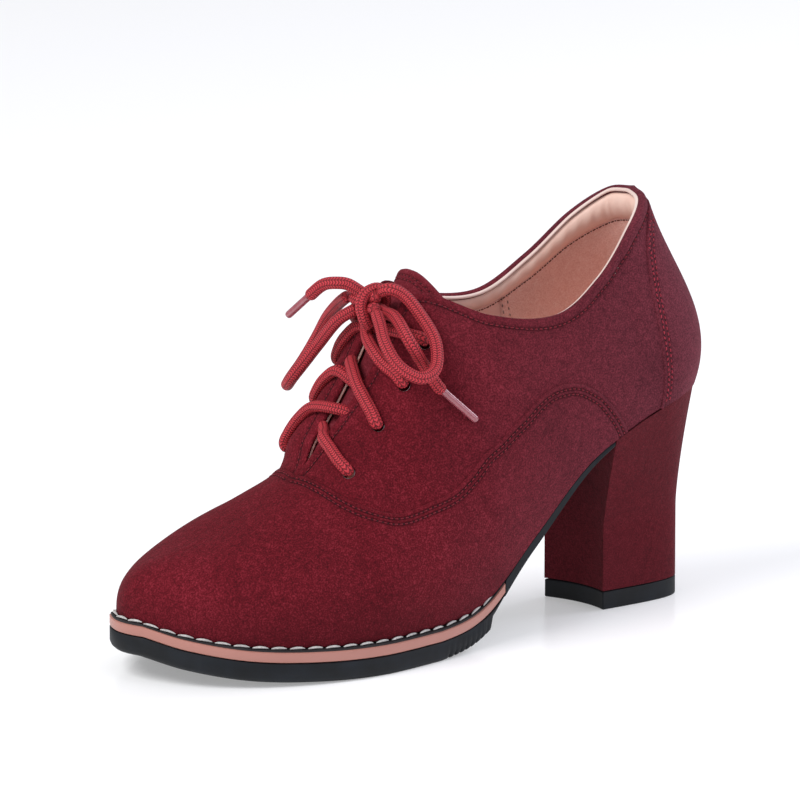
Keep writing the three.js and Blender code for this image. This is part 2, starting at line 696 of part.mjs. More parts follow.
// The bow: points in millimetres from the back of the seat, the shoe's middle and the floor.
const BOW = [
  {
    name: "lace_loop_right",
    steps: 12,
    points: [
      [133.5, 5, 125.4], [132, 9.3, 127.4], [128.5, 12.5, 125.5], [125.5, 19.5, 118.5],
      [124.5, 26.5, 110.5], [128, 31, 102.5], [134, 31.5, 100.5], [139.5, 27, 104],
      [141, 20.5, 110.5], [138.5, 13, 116.5], [137.5, 8.8, 120.5],
    ],
  },
  {
    name: "lace_end_right",
    steps: 6,
    points: [
      [132.2, 6, 118.7], [131.4, 15.4, 118.3], [132.2, 25.4, 112.3], [127.6, 24.5, 103.8],
      [124.6, 28, 95.6],
    ],
  },
  {
    name: "lace_loop_left",
    steps: 14,
    points: [
      [135.6, -4.9, 118.5], [140, -10, 114], [143, -18, 104], [147, -24, 95],
      [148, -29, 87.5], [146.5, -34.5, 86.5], [143, -36, 91.5], [140.5, -31, 101],
      [139, -24, 110], [139, -15, 118], [137, -8.6, 122.3],
    ],
  },
  {
    name: "lace_end_left",
    steps: 3,
    points: [
      [135.9, -3.7, 124.8], [138.8, -6.4, 127], [141.5, -8.6, 127.4], [144.5, -12.5, 126.5],
      [147, -17, 122.3],
    ],
  },
];
const AGLETS = [
  { name: "aglet_right", points: [[124, 28.6, 94.8], [112.4, 34.4, 82.8]] },
  { name: "aglet_left", points: [[147.13, -17.24, 122.08], [151.6, -25.2, 113.5]] },
];
const KNOT = { at: [132.8, 0, 121], size: [4.6, 6, 6.9] };

function knot() {
  const ball = bare(new THREE.SphereGeometry(1, 10, 8)).scale(...KNOT.size).translate(...KNOT.at);
  const mesh = new THREE.Mesh(ball, MATERIALS.cord);
  mesh.name = "lace_knot";
  return mesh;
}

const shoe = new THREE.Group();
shoe.add(upper(), outsole(), welt(), insole(), heelBlock(), topPiece(), tongue(), ...eyelets());
shoe.add(...counted(EYELETS.length - 1).map(laceCrossing), laceBar());

// The origin is under the middle of the shoe, on the floor, whatever the bow does.
const box = new THREE.Box3().setFromObject(shoe);
shoe.add(knot());
shoe.add(...BOW.map((row) => rodMesh(row.name, MATERIALS.cord, row.points, LACE, row.steps)));
shoe.add(...AGLETS.map((row) => rodMesh(row.name, MATERIALS.clear, row.points, 0.8 * LACE, 1)));
shoe.position.set(-(box.min.x + box.max.x) / 2, -(box.min.y + box.max.y) / 2, 0);

const part = new THREE.Group();
part.add(shoe);

export default part;
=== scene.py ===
import math

import bmesh
import bpy
import numpy as np
from mathutils import Matrix, Vector


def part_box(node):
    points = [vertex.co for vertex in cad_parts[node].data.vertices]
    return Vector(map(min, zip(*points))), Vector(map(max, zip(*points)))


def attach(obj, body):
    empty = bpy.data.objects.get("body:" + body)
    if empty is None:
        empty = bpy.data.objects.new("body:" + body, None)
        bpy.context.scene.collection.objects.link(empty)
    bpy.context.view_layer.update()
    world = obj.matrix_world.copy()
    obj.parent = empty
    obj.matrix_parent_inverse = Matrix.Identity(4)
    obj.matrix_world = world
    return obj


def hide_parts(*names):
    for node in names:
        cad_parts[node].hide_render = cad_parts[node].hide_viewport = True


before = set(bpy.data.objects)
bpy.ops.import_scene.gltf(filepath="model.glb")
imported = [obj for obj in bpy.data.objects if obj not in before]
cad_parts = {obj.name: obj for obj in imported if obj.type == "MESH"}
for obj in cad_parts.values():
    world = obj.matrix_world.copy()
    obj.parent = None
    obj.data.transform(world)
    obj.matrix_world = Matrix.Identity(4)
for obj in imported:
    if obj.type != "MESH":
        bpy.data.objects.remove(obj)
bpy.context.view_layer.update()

# The photographer's view of one left shoe from its lateral front, with a long lens, standing on a
# pale glossy table under broad softboxes. The shoe's own sizes are in millimetres from the back of
# the seat, the middle of the heel and the floor, and moved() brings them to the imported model.
HEEL_BACK = 6.5
heel_low, heel_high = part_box("heel_top_piece")
TO_FRAME = np.array([heel_low[0] * 1000 - HEEL_BACK, (heel_low[1] + heel_high[1]) * 500, 0.0])


def moved(points):
    return (np.asarray(points, float) + TO_FRAME) / 1000


AZIMUTH, ELEVATION = math.radians(145.42), math.radians(13.78)
TOWARDS_CAMERA = np.array([
    math.sin(AZIMUTH) * math.cos(ELEVATION), -math.cos(AZIMUTH) * math.cos(ELEVATION), math.sin(ELEVATION)])
RIGHT = np.array([math.cos(AZIMUTH), math.sin(AZIMUTH), 0.0])
UP = np.cross(TOWARDS_CAMERA, RIGHT)
target = moved([112, -13.32, 80.64])
lens = bpy.data.cameras.new("camera")
lens.lens = 386.44
camera = bpy.data.objects.new("camera", lens)
camera.location = Vector(target + 3.0 * TOWARDS_CAMERA)
camera.rotation_mode = "QUATERNION"
camera.rotation_quaternion = Vector(-TOWARDS_CAMERA).to_track_quat("-Z", "Y")
bpy.context.scene.collection.objects.link(camera)
bpy.context.scene.camera = camera
bpy.context.scene.view_settings.view_transform = "Standard"


def linear(colour):
    """An sRGB hex value as the linear colour that a shader takes."""
    parts = [int(colour[i:i + 2], 16) / 255 for i in (1, 3, 5)]
    return [c / 12.92 if c <= 0.04045 else ((c + 0.055) / 1.055) ** 2.4 for c in parts] + [1.0]


def add(tree, kind, sockets=None, **settings):
    """A new node with its own settings, and its sockets' values or the outputs linked to them."""
    made = tree.nodes.new("ShaderNode" + kind)
    for name, value in settings.items():
        setattr(made, name, value)
    for name, value in (sockets or {}).items():
        if isinstance(value, bpy.types.NodeSocket):
            tree.links.new(value, made.inputs[name])
        else:
            made.inputs[name].default_value = value
    return made


def material(name, **sockets):
    """A material with an empty tree but for its shader, which is returned with the tree."""
    made = bpy.data.materials.new(name)
    made.use_nodes = True
    tree = made.node_tree
    shader = tree.nodes["Principled BSDF"]
    for key, value in sockets.items():
        shader.inputs[key.replace("_", " ")].default_value = value
    return made, tree, shader


def coloured(tree, factor, *stops):
    """A colour ramp's output: a hex colour at each position of a factor."""
    ramp = add(tree, "ValToRGB", {"Fac": factor})
    ends = ramp.color_ramp.elements
    ends[0].position, ends[0].color = stops[0][0], linear(stops[0][1])
    ends[1].position, ends[1].color = stops[-1][0], linear(stops[-1][1])
    for position, colour in stops[1:-1]:
        ramp.color_ramp.elements.new(position).color = linear(colour)
    return ramp.outputs["Color"]


def noise(tree, place, size_mm, detail=2.0, **sockets):
    """Noise with its grain in real millimetres."""
    values = {"Vector": place, "Scale": 1000 / size_mm, "Detail": detail, **sockets}
    return add(tree, "TexNoise", values).outputs["Fac"]


def spread(tree, value, low, high, top):
    """A value between low and high, stretched to run from 0 to top."""
    sockets = {"Value": value, "From Min": low, "From Max": high, "To Max": top}
    return add(tree, "MapRange", sockets).outputs["Result"]


def mixed(tree, factor, one, other):
    """A colour between two others, given as sockets or hex values."""
    blend = add(tree, "Mix", data_type="RGBA")
    for slot, value in ((0, factor), (6, one), (7, other)):
        if isinstance(value, str):
            blend.inputs[slot].default_value = linear(value)
        else:
            tree.links.new(value, blend.inputs[slot])
    return blend.outputs[2]


def raised(tree, shader, height, depth_mm, strength):
    """Bump of a depth in real millimetres."""
    bump = add(tree, "Bump", {"Height": height, "Distance": depth_mm / 1000, "Strength": strength})
    tree.links.new(bump.outputs["Normal"], shader.inputs["Normal"])


def softbox(name, place, size, power, colour="#ffffff"):
    light = bpy.data.lights.new(name, "AREA")
    light.shape, light.size, light.energy = "DISK", size, power
    light.color = linear(colour)[:3]
    lamp = bpy.data.objects.new(name, light)
    lamp.location = Vector(target) + Vector(place)
    lamp.rotation_mode = "QUATERNION"
    lamp.rotation_quaternion = (-Vector(place)).to_track_quat("-Z", "Y")
    bpy.context.scene.collection.objects.link(lamp)


softbox("key_softbox", TOWARDS_CAMERA * 0.8 - RIGHT * 0.9 + np.array([0, 0, 1.0]), 0.9, 19)
softbox("fill_softbox", TOWARDS_CAMERA * 0.9 + RIGHT * 1.3 + np.array([0, 0, 0.3]), 1.0, 5, "#e9edff")
softbox("rim_softbox", RIGHT * 1.1 - TOWARDS_CAMERA * 0.7 + np.array([0, 0, 1.0]), 1.0, 10, "#eef1ff")
world = bpy.data.worlds.new("studio")
bpy.context.scene.world = world
world.use_nodes = True
world.node_tree.nodes["Background"].inputs["Color"].default_value = linear("#f4f5f8")
world.node_tree.nodes["Background"].inputs["Strength"].default_value = 0.5

bpy.ops.object.select_all(action="DESELECT")
bpy.ops.mesh.primitive_plane_add(size=14)
table = bpy.context.object
table.name = "table"
# White lacquered board: even and pale, with a soft mirror image close to the shoe.
lacquer, _, _ = material("white_lacquer", Base_Color=linear("#f8f8f9"), Roughness=0.2)
lacquer.node_tree.nodes["Principled BSDF"].inputs["Emission Color"].default_value = linear("#ffffff")
lacquer.node_tree.nodes["Principled BSDF"].inputs["Emission Strength"].default_value = 0.3
table.data.materials.append(lacquer)

# The lasted upper: the shape of the last, as ribs from the feather line, where the upper is drawn
# under over the insole board, up to the topline, the facings and the closed ridge over the toes.
# s counts the ribs, 0 at the back seam to 12 at the toe, with the medial side below zero, and v is
# the share of a rib's height. The same table stands in the CAD source.
LENGTH, BALL, SEAT, HEIGHT = 230, 77, 79, 148
OUTSOLE, WELT, GAP, WALL, LAP = 6.8, 4.4, 0.3, 2.0, 0.9
STACK = OUTSOLE + WELT + 2 * GAP
TOE, THROAT, CORNER, BREAST, WELT_END, PAD_END = 12, 8.3, 5.75, 3.48, 5.65, 5.98
# along, rise, lateral, medial, flare, full
FEATHER = np.array([
    [0, 1, 0, 0, 22, 0.36], [0.024, 0.99, 0.185, 0.185, 20, 0.36], [0.08, 0.955, 0.3, 0.295, 16, 0.36],
    [0.165, 0.862, 0.34, 0.33, 12, 0.36], [0.26, 0.69, 0.345, 0.3, 12, 0.36],
    [0.36, 0.36, 0.35, 0.25, 14, 0.38], [0.455, 0.075, 0.38, 0.25, 17, 0.42],
    [0.56, 0, 0.44, 0.33, 17, 0.46], [0.67, 0, 0.487, 0.43, 15, 0.5], [0.775, 0.012, 0.457, 0.48, 12, 0.5],
    [0.88, 0.04, 0.34, 0.443, 9, 0.48], [0.96, 0.095, 0.15, 0.315, 5, 0.46], [1, 0.145, -0.1, 0.1, 3, 0.45]])
# rib, along, up, side, lean, crown
EDGE = np.array([
    [0, 0.09, 1, 0, 18, 0.36], [1, 0.106, 0.985, 0.15, 14, 0.36], [2, 0.157, 0.925, 0.25, 12, 0.36],
    [3, 0.228, 0.828, 0.31, 12, 0.36], [4, 0.313, 0.76, 0.33, 16, 0.36], [5, 0.43, 0.783, 0.29, 32, 0.34],
    [5.6, 0.515, 0.84, 0.165, 45, 0.3], [5.85, 0.546, 0.826, 0.115, 52, 0.28],
    [6.1, 0.568, 0.75, 0.085, 58, 0.26], [6.6, 0.602, 0.655, 0.075, 66, 0.26],
    [7.2, 0.64, 0.576, 0.055, 74, 0.26], [7.8, 0.68, 0.502, 0.035, 82, 0.28], [8.3, 0.711, 0.438, 0, 90, 0.3],
    [9.2, 0.765, 0.393, 0, 90, 0.36], [10.3, 0.815, 0.353, 0, 90, 0.44], [12, 0.848, 0.327, 0, 90, 0.5]])


def between(rows, column, at):
    """A column's smooth value at a place between the rows, by their first column."""
    key, value, at = rows[:, 0], rows[:, column], np.asarray(at, float)
    last = len(key) - 1
    before, after = np.maximum(np.arange(last + 1) - 1, 0), np.minimum(np.arange(last + 1) + 1, last)
    slope = (value[after] - value[before]) / (key[after] - key[before])
    i = np.clip(np.searchsorted(key, at) - 1, 0, last - 1)
    width = key[i + 1] - key[i]
    t = np.clip((at - key[i]) / width, 0, 1)
    t2, t3 = t * t, t * t * t
    held = value[i] * (2 * t3 - 3 * t2 + 1) + value[i + 1] * (3 * t2 - 2 * t3)
    return held + slope[i] * width * (t3 - 2 * t2 + t) + slope[i + 1] * width * (t3 - t2)


def round_feather(lateral, medial, s):
    values = np.concatenate([FEATHER[:, lateral], medial[-2:0:-1]])
    s = np.asarray(s, float)
    i = np.floor(s).astype(int)
    t = s - i
    a, b, c, d = (values[(i + k) % len(values)] for k in (-1, 0, 1, 2))
    return b + 0.5 * t * (c - a + t * (2 * a - 5 * b + 4 * c - d + t * (3 * (b - c) + d - a)))


def unit(vectors):
    return vectors / np.maximum(np.linalg.norm(vectors, axis=-1, keepdims=True), 1e-12)


def run_along(line):
    """The distance travelled at each point of a line."""
    return np.concatenate([[0], np.cumsum(np.linalg.norm(np.diff(line, axis=0), axis=1))])


def smooth(x, low, high):
    t = np.clip((np.asarray(x, float) - low) / (high - low), 0, 1)
    return t * t * (3 - 2 * t)


def foot_height(x):
    return STACK + (SEAT - STACK) * np.maximum(between(FEATHER, 1, x / LENGTH), 0)


def foot(s):
    x = LENGTH * round_feather(0, FEATHER[:, 0], s)
    return np.stack([x, BALL * round_feather(2, -FEATHER[:, 3], s), foot_height(x)], -1)


def outward(s):
    t = foot(s + 0.02) - foot(s - 0.02)
    return unit(np.stack([-t[..., 1], t[..., 0], 0 * t[..., 0]], -1))


def rib_end(s):
    a = np.abs(s)
    side = np.where(a >= THROAT, 0, np.sign(s) * np.maximum(between(EDGE, 3, a), 0))
    return np.stack([LENGTH * between(EDGE, 1, a), BALL * side, HEIGHT * between(EDGE, 2, a)], -1)


def ridge_run(s):
    a = np.minimum(np.abs(s), TOE - 0.2)
    return unit((rib_end(a - 0.1) - rib_end(a + 0.1)) * [1, 0, 1])


def controls(s):
    """The four control points of rib s."""
    s = np.asarray(s, float)
    a = np.abs(s)
    lean = np.radians(between(EDGE, 4, a))[..., None]
    heel_share = (1 - smooth(a, 0.5, 4))[..., None]
    fan = (smooth(a, TOE - 3, TOE) * math.pi / 2)[..., None]
    square = np.stack([0 * s, -np.sign(s), 0 * s], -1)
    inward = unit(square * (1 - heel_share) - outward(s) * heel_share)
    inward = inward * np.cos(fan) + ridge_run(s) * np.sin(fan)
    arrival = unit(inward * np.sin(lean) + np.array([0, 0, 1.0]) * np.cos(lean))
    low, high = foot(s), rib_end(s)
    rise = np.linalg.norm(high - low, axis=-1, keepdims=True)
    flare = np.radians(round_feather(4, FEATHER[:, 4], s))[..., None]
    start = outward(s) * np.sin(flare) + np.array([0, 0, 1.0]) * np.cos(flare)
    full = round_feather(5, FEATHER[:, 5], s)[..., None]
    crown = between(EDGE, 5, a)[..., None]
    return low, low + start * rise * full, high - arrival * rise * crown, high


def on_last(s, v):
    s, v = np.broadcast_arrays(np.asarray(s, float), np.asarray(v, float))
    a, b, c, d = controls(s)
    v, w = v[..., None], 1 - v[..., None]
    return a * w ** 3 + 3 * b * w * w * v + 3 * c * w * v * v + d * v ** 3


def upper_normal(s, v):
    s, v = np.broadcast_arrays(np.asarray(s, float), np.asarray(v, float))
    rise = on_last(s, np.minimum(v + 0.01, 1)) - on_last(s, np.maximum(v - 0.01, 0))
    normal = unit(np.cross(rise, on_last(s + 0.01, v) - on_last(s - 0.01, v)))
    run = ridge_run(s)
    ridge = unit(np.stack([run[..., 2], 0 * s, -run[..., 0]], -1))
    return np.where(((v > 0.999) & (np.abs(s) >= THROAT))[..., None], ridge, normal)


def on_upper(s, v, depth=0.0):
    return on_last(s, v) + upper_normal(s, v) * np.asarray(depth, float)[..., None]


def way_on_upper(pairs, count):
    """Points on the last along a line given as (rib, share) pairs."""
    pairs = np.array(pairs, float)
    t = np.linspace(0, len(pairs) - 1, count)
    key = np.arange(len(pairs))
    rows = np.column_stack([key, pairs])
    return on_last(between(rows, 1, t), between(rows, 2, t))


# Soft folds in the suede, each a line of (rib, share) with its width and depth in millimetres, a
# ridge where the depth is negative: the hollow behind the facings, the drag line from the facing's
# top corner, the pinch where the collar's seam ends, the dip beside the counter and the flex lines
# over the ball. Negative ribs are the medial side's, and the last line is its loose facing's ridge.
FOLDS = [
    ([(6.0, 0.62), (6.5, 0.55), (7.0, 0.52)], 9.0, 0.9),
    ([(5.2, 0.86), (4.6, 0.8), (4.1, 0.8)], 5.0, 0.5),
    ([(3.1, 0.93), (2.75, 0.92), (2.45, 0.955)], 2.2, 0.7),
    ([(2.7, 0.5), (2.6, 0.7), (2.35, 0.85)], 5.0, 0.6),
    ([(9.3, 0.62), (9.6, 0.42), (9.75, 0.25)], 7.0, 0.7),
    ([(8.7, 0.6), (8.6, 0.42), (8.45, 0.25)], 8.0, 0.55),
    ([(10.6, 0.5), (10.9, 0.3)], 6.0, -0.35),
    ([(-6.0, 0.62), (-6.5, 0.55), (-7.0, 0.52)], 9.0, 0.9),
    ([(-9.1, 0.62), (-9.3, 0.42), (-9.45, 0.25)], 8.0, 0.7),
    ([(-2.7, 0.5), (-2.6, 0.7), (-2.35, 0.85)], 5.0, 0.6),
    ([(-6.1, 0.87), (-6.6, 0.86), (-7.2, 0.85), (-7.75, 0.83)], 8.0, -3.6),
]
folds = [(way_on_upper(line, 24), width, depth) for line, width, depth in FOLDS]


def nearest(points, line):
    """The distance of each point from a line of close points."""
    flat = points.reshape(-1, 3)
    far = np.full(len(flat), np.inf)
    for here in line:
        far = np.minimum(far, ((flat - here) ** 2).sum(-1))
    return np.sqrt(far).reshape(points.shape[:-1])


def fold_depth(points):
    total = np.zeros(points.shape[:-1])
    for line, width, depth in folds:
        total -= depth * np.exp(-(nearest(points, line) / width) ** 2)
    return total


def on_suede(s, v, lift):
    """A point lifted off the suede as it lies, on its folds."""
    return on_upper(s, v, lift + fold_depth(on_last(s, v)))


def strip_faces(columns, rows, ring_columns, ring_rows, skip=None):
    """The quads of a grid of columns times rows, numbered column by column."""
    faces = []
    for i in range(columns if ring_columns else columns - 1):
        k = (i + 1) % columns
        for j in range(rows if ring_rows else rows - 1):
            if skip is not None and skip[i, j] and skip[k, j]:
                continue
            n = (j + 1) % rows
            faces.append((i * rows + j, i * rows + n, k * rows + n, k * rows + j))
    return faces


def capped(columns, rows, skip=None):
    """The faces of a tube of rings, with its two ends closed."""
    faces = strip_faces(columns, rows, False, True, skip)
    return faces + [tuple(range(rows)), tuple((columns - 1) * rows + j for j in reversed(range(rows)))]


def two_sided(rows, columns):
    """The faces of a sheet: a face grid, a back grid numbered after it, and the rim between them."""
    count = rows * columns
    faces = strip_faces(rows, columns, False, False)
    faces += [tuple(count + n for n in reversed(face)) for face in faces]
    rim = list(range(columns)) + [i * columns + columns - 1 for i in range(1, rows)]
    rim += [(rows - 1) * columns + j for j in reversed(range(columns - 1))]
    rim += [i * columns for i in reversed(range(1, rows - 1))]
    for here, there in zip(rim, rim[1:] + rim[:1]):
        faces.append((here, there, count + there, count + here))
    return faces


def new_piece(name, points, faces, finish, values=None, uv=None, angle=40):
    """A mesh object at the origin: its doubles merged, its normals out, its attributes written."""
    points = np.asarray(points, float).reshape(-1, 3)
    mesh = bpy.data.meshes.new(name)
    mesh.from_pydata(moved(points).tolist(), [], faces)
    for key, value in (values or {}).items():
        layer = mesh.attributes.new(key, "FLOAT", "POINT")
        layer.data.foreach_set("value", np.ravel(value).astype(np.float32))
    if uv is not None:
        corners = np.zeros(len(mesh.loops), np.int32)
        mesh.loops.foreach_get("vertex_index", corners)
        layer = mesh.uv_layers.new(name="UVMap")
        layer.data.foreach_set("uv", np.reshape(uv, (-1, 2))[corners].astype(np.float32).ravel())
    grown = bmesh.new()
    grown.from_mesh(mesh)
    bmesh.ops.remove_doubles(grown, verts=grown.verts, dist=2e-6)
    bmesh.ops.dissolve_degenerate(grown, edges=grown.edges, dist=1e-7)
    bmesh.ops.recalc_face_normals(grown, faces=grown.faces)
    grown.to_mesh(mesh)
    grown.free()
    made = bpy.data.objects.new(name, mesh)
    bpy.context.scene.collection.objects.link(made)
    mesh.materials.append(finish)
    dress(made, angle)
    return made


def dress(made, angle=40):
    """Shades a piece smooth up to an angle."""
    bpy.ops.object.select_all(action="DESELECT")
    made.select_set(True)
    bpy.context.view_layer.objects.active = made
    bpy.ops.object.shade_smooth_by_angle(angle=math.radians(angle))
    made.select_set(False)


def shell(name, ribs, shares, outer, inner, finish, lip, values=None, ring=False):
    """A sheet of the upper between two depths, with a rounded lip at the end of its ribs.
    shares has a row of v for each rib; outer and inner are depths of the same shape."""
    s = np.repeat(ribs[:, None], shares.shape[1], 1)
    out, into = on_upper(s, shares, outer), on_upper(s, shares, inner)[:, ::-1]
    turn = np.linspace(0, math.pi, 7)[1:-1]
    top, low = out[:, -1], into[:, 0]
    way = unit(on_last(ribs, shares[:, -1]) - on_last(ribs, shares[:, -1] - 0.02))
    middle, half = (top + low) / 2, (top - low) / 2
    rim = np.stack([middle + half * math.cos(t) + way * lip * math.sin(t) for t in turn], 1)
    grid = np.concatenate([out, rim, into], 1)
    columns, rows = grid.shape[:2]
    closed = (np.abs(ribs) >= THROAT) & (shares[:, -1] > 0.999)
    skip = np.zeros((columns, rows), bool)
    skip[closed, shares.shape[1] - 1:shares.shape[1] + len(turn)] = True
    faces = strip_faces(columns, rows, True, True, skip) if ring else capped(columns, rows, skip)
    held = {}
    for key, value in (values or {}).items():
        held[key] = np.concatenate([value, np.repeat(value[:, -1:], len(turn), 1), value[:, ::-1]], 1)
    return new_piece(name, grid, faces, finish, held)


# Brushed microfibre suede: short soft fibres with a fine mottle, laid this way and that by hand in
# patches, and a pale bloom where they are seen edge on.
def suede(name, dark, mid, light, sheen_tones=None):
    made, tree, shader = material(name, Roughness=0.92, Sheen_Weight=0.1, Sheen_Roughness=0.4)
    shader.inputs["Sheen Tint"].default_value = linear("#e39aa2")
    shader.inputs["Specular IOR Level"].default_value = 0.12
    place = add(tree, "TexCoord").outputs["Object"]
    # the way the nap lies, the clumps of fibre, and the single fibres, drawn coarse enough to show
    nap = noise(tree, place, 30, 4.0, Distortion=0.4)
    clump = noise(tree, place, 2.4, 4.0, Roughness=0.75)
    fibre = noise(tree, place, 0.55, Roughness=0.6)
    laid, tuft = spread(tree, nap, 0.3, 0.7, 0.16), spread(tree, clump, 0.32, 0.68, 0.26)
    part = add(tree, "Math", {0: laid, 1: tuft}, operation="ADD")
    speck = spread(tree, fibre, 0.34, 0.7, 0.52)
    whole = add(tree, "Math", {0: part.outputs[0], 1: speck}, operation="ADD").outputs[0]
    colour = coloured(tree, whole, (0, dark), (0.5, mid), (1, light))
    if sheen_tones:  # painted sheen: paler and greyer towards the heel; painted shade: darker down by the welt
        along = add(tree, "SeparateXYZ", {"Vector": place}).outputs
        painted_sheen = coloured(tree, whole, (0, sheen_tones[0]), (1, sheen_tones[1]))
        colour = mixed(tree, spread(tree, along["X"], 0.02, -0.1, 0.75), colour, painted_sheen)
        colour = mixed(tree, spread(tree, along["Z"], 0.034, 0.013, 0.45), colour, dark)
    # painted shade: darker towards #1f060b where a piece's shade attribute is set, in its stitch rows' grooves
    shade = add(tree, "Attribute", attribute_name="shade").outputs["Fac"]
    tree.links.new(mixed(tree, shade, colour, "#1f060b"), shader.inputs["Base Color"])
    rough = add(tree, "Math", {0: fibre, 1: 0.5, 2: clump}, operation="MULTIPLY_ADD")
    raised(tree, shader, rough.outputs[0], 0.6, 0.6)
    return made


# the last pair are the tones of the painted sheen towards the heel
upper_suede = suede("brushed_microfibre_suede", "#380910", "#66141f", "#98303e", ("#3b1822", "#82414e"))

# The quarters: two suede panels over a stiffener, cut to the topline and the facings, their edges
# turned in and stitched, and punched for four pairs of eyelets.
# rib and share of each eyelet, from the throat up
EYELETS = [(7.82, 0.738), (6.98, 0.796), (6.31, 0.81), (5.89, 0.822)]
EYELET_HOLE = 4.6
ROW_IN = 3.0  # of the stitch row inside the turned edge
SUEDE, TURNED = 1.05, 0.75
fine_ribs = np.unique(np.concatenate([np.linspace(-TOE, TOE, 385), [-THROAT, THROAT]]))
free_edge = on_last(np.linspace(-THROAT, THROAT, 900), np.ones(900))


def lowered_rows(count, power=1.7):
    return 1 - np.linspace(1, 0, count) ** power


shares = np.repeat(lowered_rows(46)[None], len(fine_ribs), 0)
grid = on_last(fine_ribs[:, None], shares)
from_edge = nearest(grid, free_edge)
groove = np.exp(-((from_edge - ROW_IN) / 0.55) ** 2)
depth = fold_depth(grid) - 0.28 * groove
depth += 0.25 * np.exp(-((from_edge - 1.3) / 1.2) ** 2)
# painted shade along the stitch row's groove
groove_shade = 0.75 * groove
quarters = shell("quarters", fine_ribs, shares, depth, depth * 0 - SUEDE, upper_suede, TURNED,
                 {"shade": groove_shade}, ring=True)


PIN = 12.0  # longer than both sheets are thick


def punch(piece):
    """Cuts the eyelets' holes through a piece, with one pin for each eyelet."""
    for rib, share in EYELETS:
        for side in (1, -1):
            out = upper_normal(side * rib, share)
            bpy.ops.mesh.primitive_cylinder_add(vertices=32, radius=EYELET_HOLE / 2000, depth=PIN / 1000)
            pin = bpy.context.object
            turn = Vector(out).to_track_quat("Z", "Y").to_matrix().to_4x4()
            pin.data.transform(Matrix.Translation(Vector(moved(on_upper(side * rib, share)))) @ turn)
            cut = piece.modifiers.new("hole", "BOOLEAN")
            cut.object, cut.operation, cut.solver = pin, "DIFFERENCE", "EXACT"
            bpy.context.view_layer.objects.active = piece
            bpy.ops.object.modifier_apply(modifier="hole")
            bpy.data.objects.remove(pin)
    dress(piece)


punch(quarters)
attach(quarters, "root")
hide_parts("upper")

# The vamp: one suede panel lasted over the toe and running back along both sides to the heel, its
# skived edge lapped on the quarters and sewn down with two rows.
VAMP = np.array([
    [3.25, 0.02], [3.45, 0.21], [3.64, 0.39], [3.94, 0.55], [4.27, 0.61], [4.6, 0.605], [5.08, 0.526],
    [5.6, 0.43], [6.26, 0.41], [6.9, 0.43], [7.37, 0.446], [7.62, 0.478], [7.91, 0.559], [8.12, 0.674],
    [8.26, 0.819], [8.4, 1]])


def covered(s):
    return np.where(np.abs(s) >= VAMP[-1, 0], 1, np.clip(between(VAMP, 1, np.abs(s)), 0, 1))


half = np.concatenate([np.linspace(3.25, 4.0, 30)[:-1], np.linspace(4.0, 7.6, 66)[:-1],
                       np.linspace(7.6, 8.6, 50)[:-1], np.linspace(8.6, TOE, 56)])
vamp_ribs = np.concatenate([half, -half[:-1][::-1]])
low = VAMP[0, 1] / 4
shares = low + (covered(vamp_ribs) - low)[:, None] * lowered_rows(56, 1.9)[None]
grid = on_last(vamp_ribs[:, None], shares)
edge_ribs = np.linspace(VAMP[0, 0], VAMP[-1, 0], 700)
vamp_line = np.concatenate([on_last(side * edge_ribs[::side], covered(edge_ribs[::side])) for side in (1, -1)])
from_edge = nearest(grid, vamp_line)
ROWS_IN = (1.9, 3.8)
groove = sum(np.exp(-((from_edge - row) / 0.5) ** 2) for row in ROWS_IN)
over = np.clip(1 - from_edge / LAP, 0, 1)
depth = LAP * np.sqrt(1 - over ** 2) + fold_depth(grid) - 0.3 * groove
depth += 0.12 * np.exp(-((from_edge - 2.9) / 0.45) ** 2)
# painted shade along the two stitch rows' grooves
groove_shade = np.clip(0.8 * groove, 0, 1)
vamp = shell("vamp", vamp_ribs, shares, depth, depth * 0 - 0.3, upper_suede, 0.05, {"shade": groove_shade})
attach(vamp, "root")
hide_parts("upper")

# The back counter: a suede panel round the heel over the stiff counter, with a double row of
# lighter thread down each front edge.
COUNTER = np.array([[0.015, 2.5], [0.31, 2.35], [0.58, 2.1], [0.75, 1.86], [0.9, 1.5], [0.985, 0.9]])
levels = np.linspace(0.004, COUNTER[-1, 0], 60)
reach = between(COUNTER, 1, levels)
across = np.linspace(-1, 1, 121)
across = np.sign(across) * (1 - (1 - np.abs(across)) ** 1.5)
s = reach[:, None] * across[None]
v = np.repeat(levels[:, None], len(across), 1)
grid = on_last(s, v)
sides = [on_last(side * reach, levels) for side in (1, -1)]
roof = on_last(np.linspace(-reach[-1], reach[-1], 80), np.full(80, levels[-1]))
from_side = nearest(grid, np.concatenate(sides))
from_edge = np.minimum(from_side, nearest(grid, roof))
COUNTER_ROWS = (1.6, 3.2)
groove = sum(np.exp(-((from_side - row) / 0.45) ** 2) for row in COUNTER_ROWS)
over = np.clip(1 - from_edge / LAP, 0, 1)
depth = LAP * np.sqrt(1 - over ** 2) + fold_depth(grid) - 0.2 * groove
outer, inner = on_upper(s, v, depth), on_upper(s, v, depth * 0 - 0.3)
# painted shade along the two stitch rows' grooves
groove_shade = 0.35 * np.concatenate([groove, groove])
counter = new_piece("back_counter", np.concatenate([outer, inner]), two_sided(*s.shape), upper_suede,
                    {"shade": groove_shade})
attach(counter, "root")
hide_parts("upper")

# The upper's seams: bonded polyester thread, one raised stitch after another, each going down into its needle hole.
# A stitch and a flat dark bead, the painted shadow of its hole, are modelled once and copied along each row.
THREAD, PITCH = 0.5, 2.0


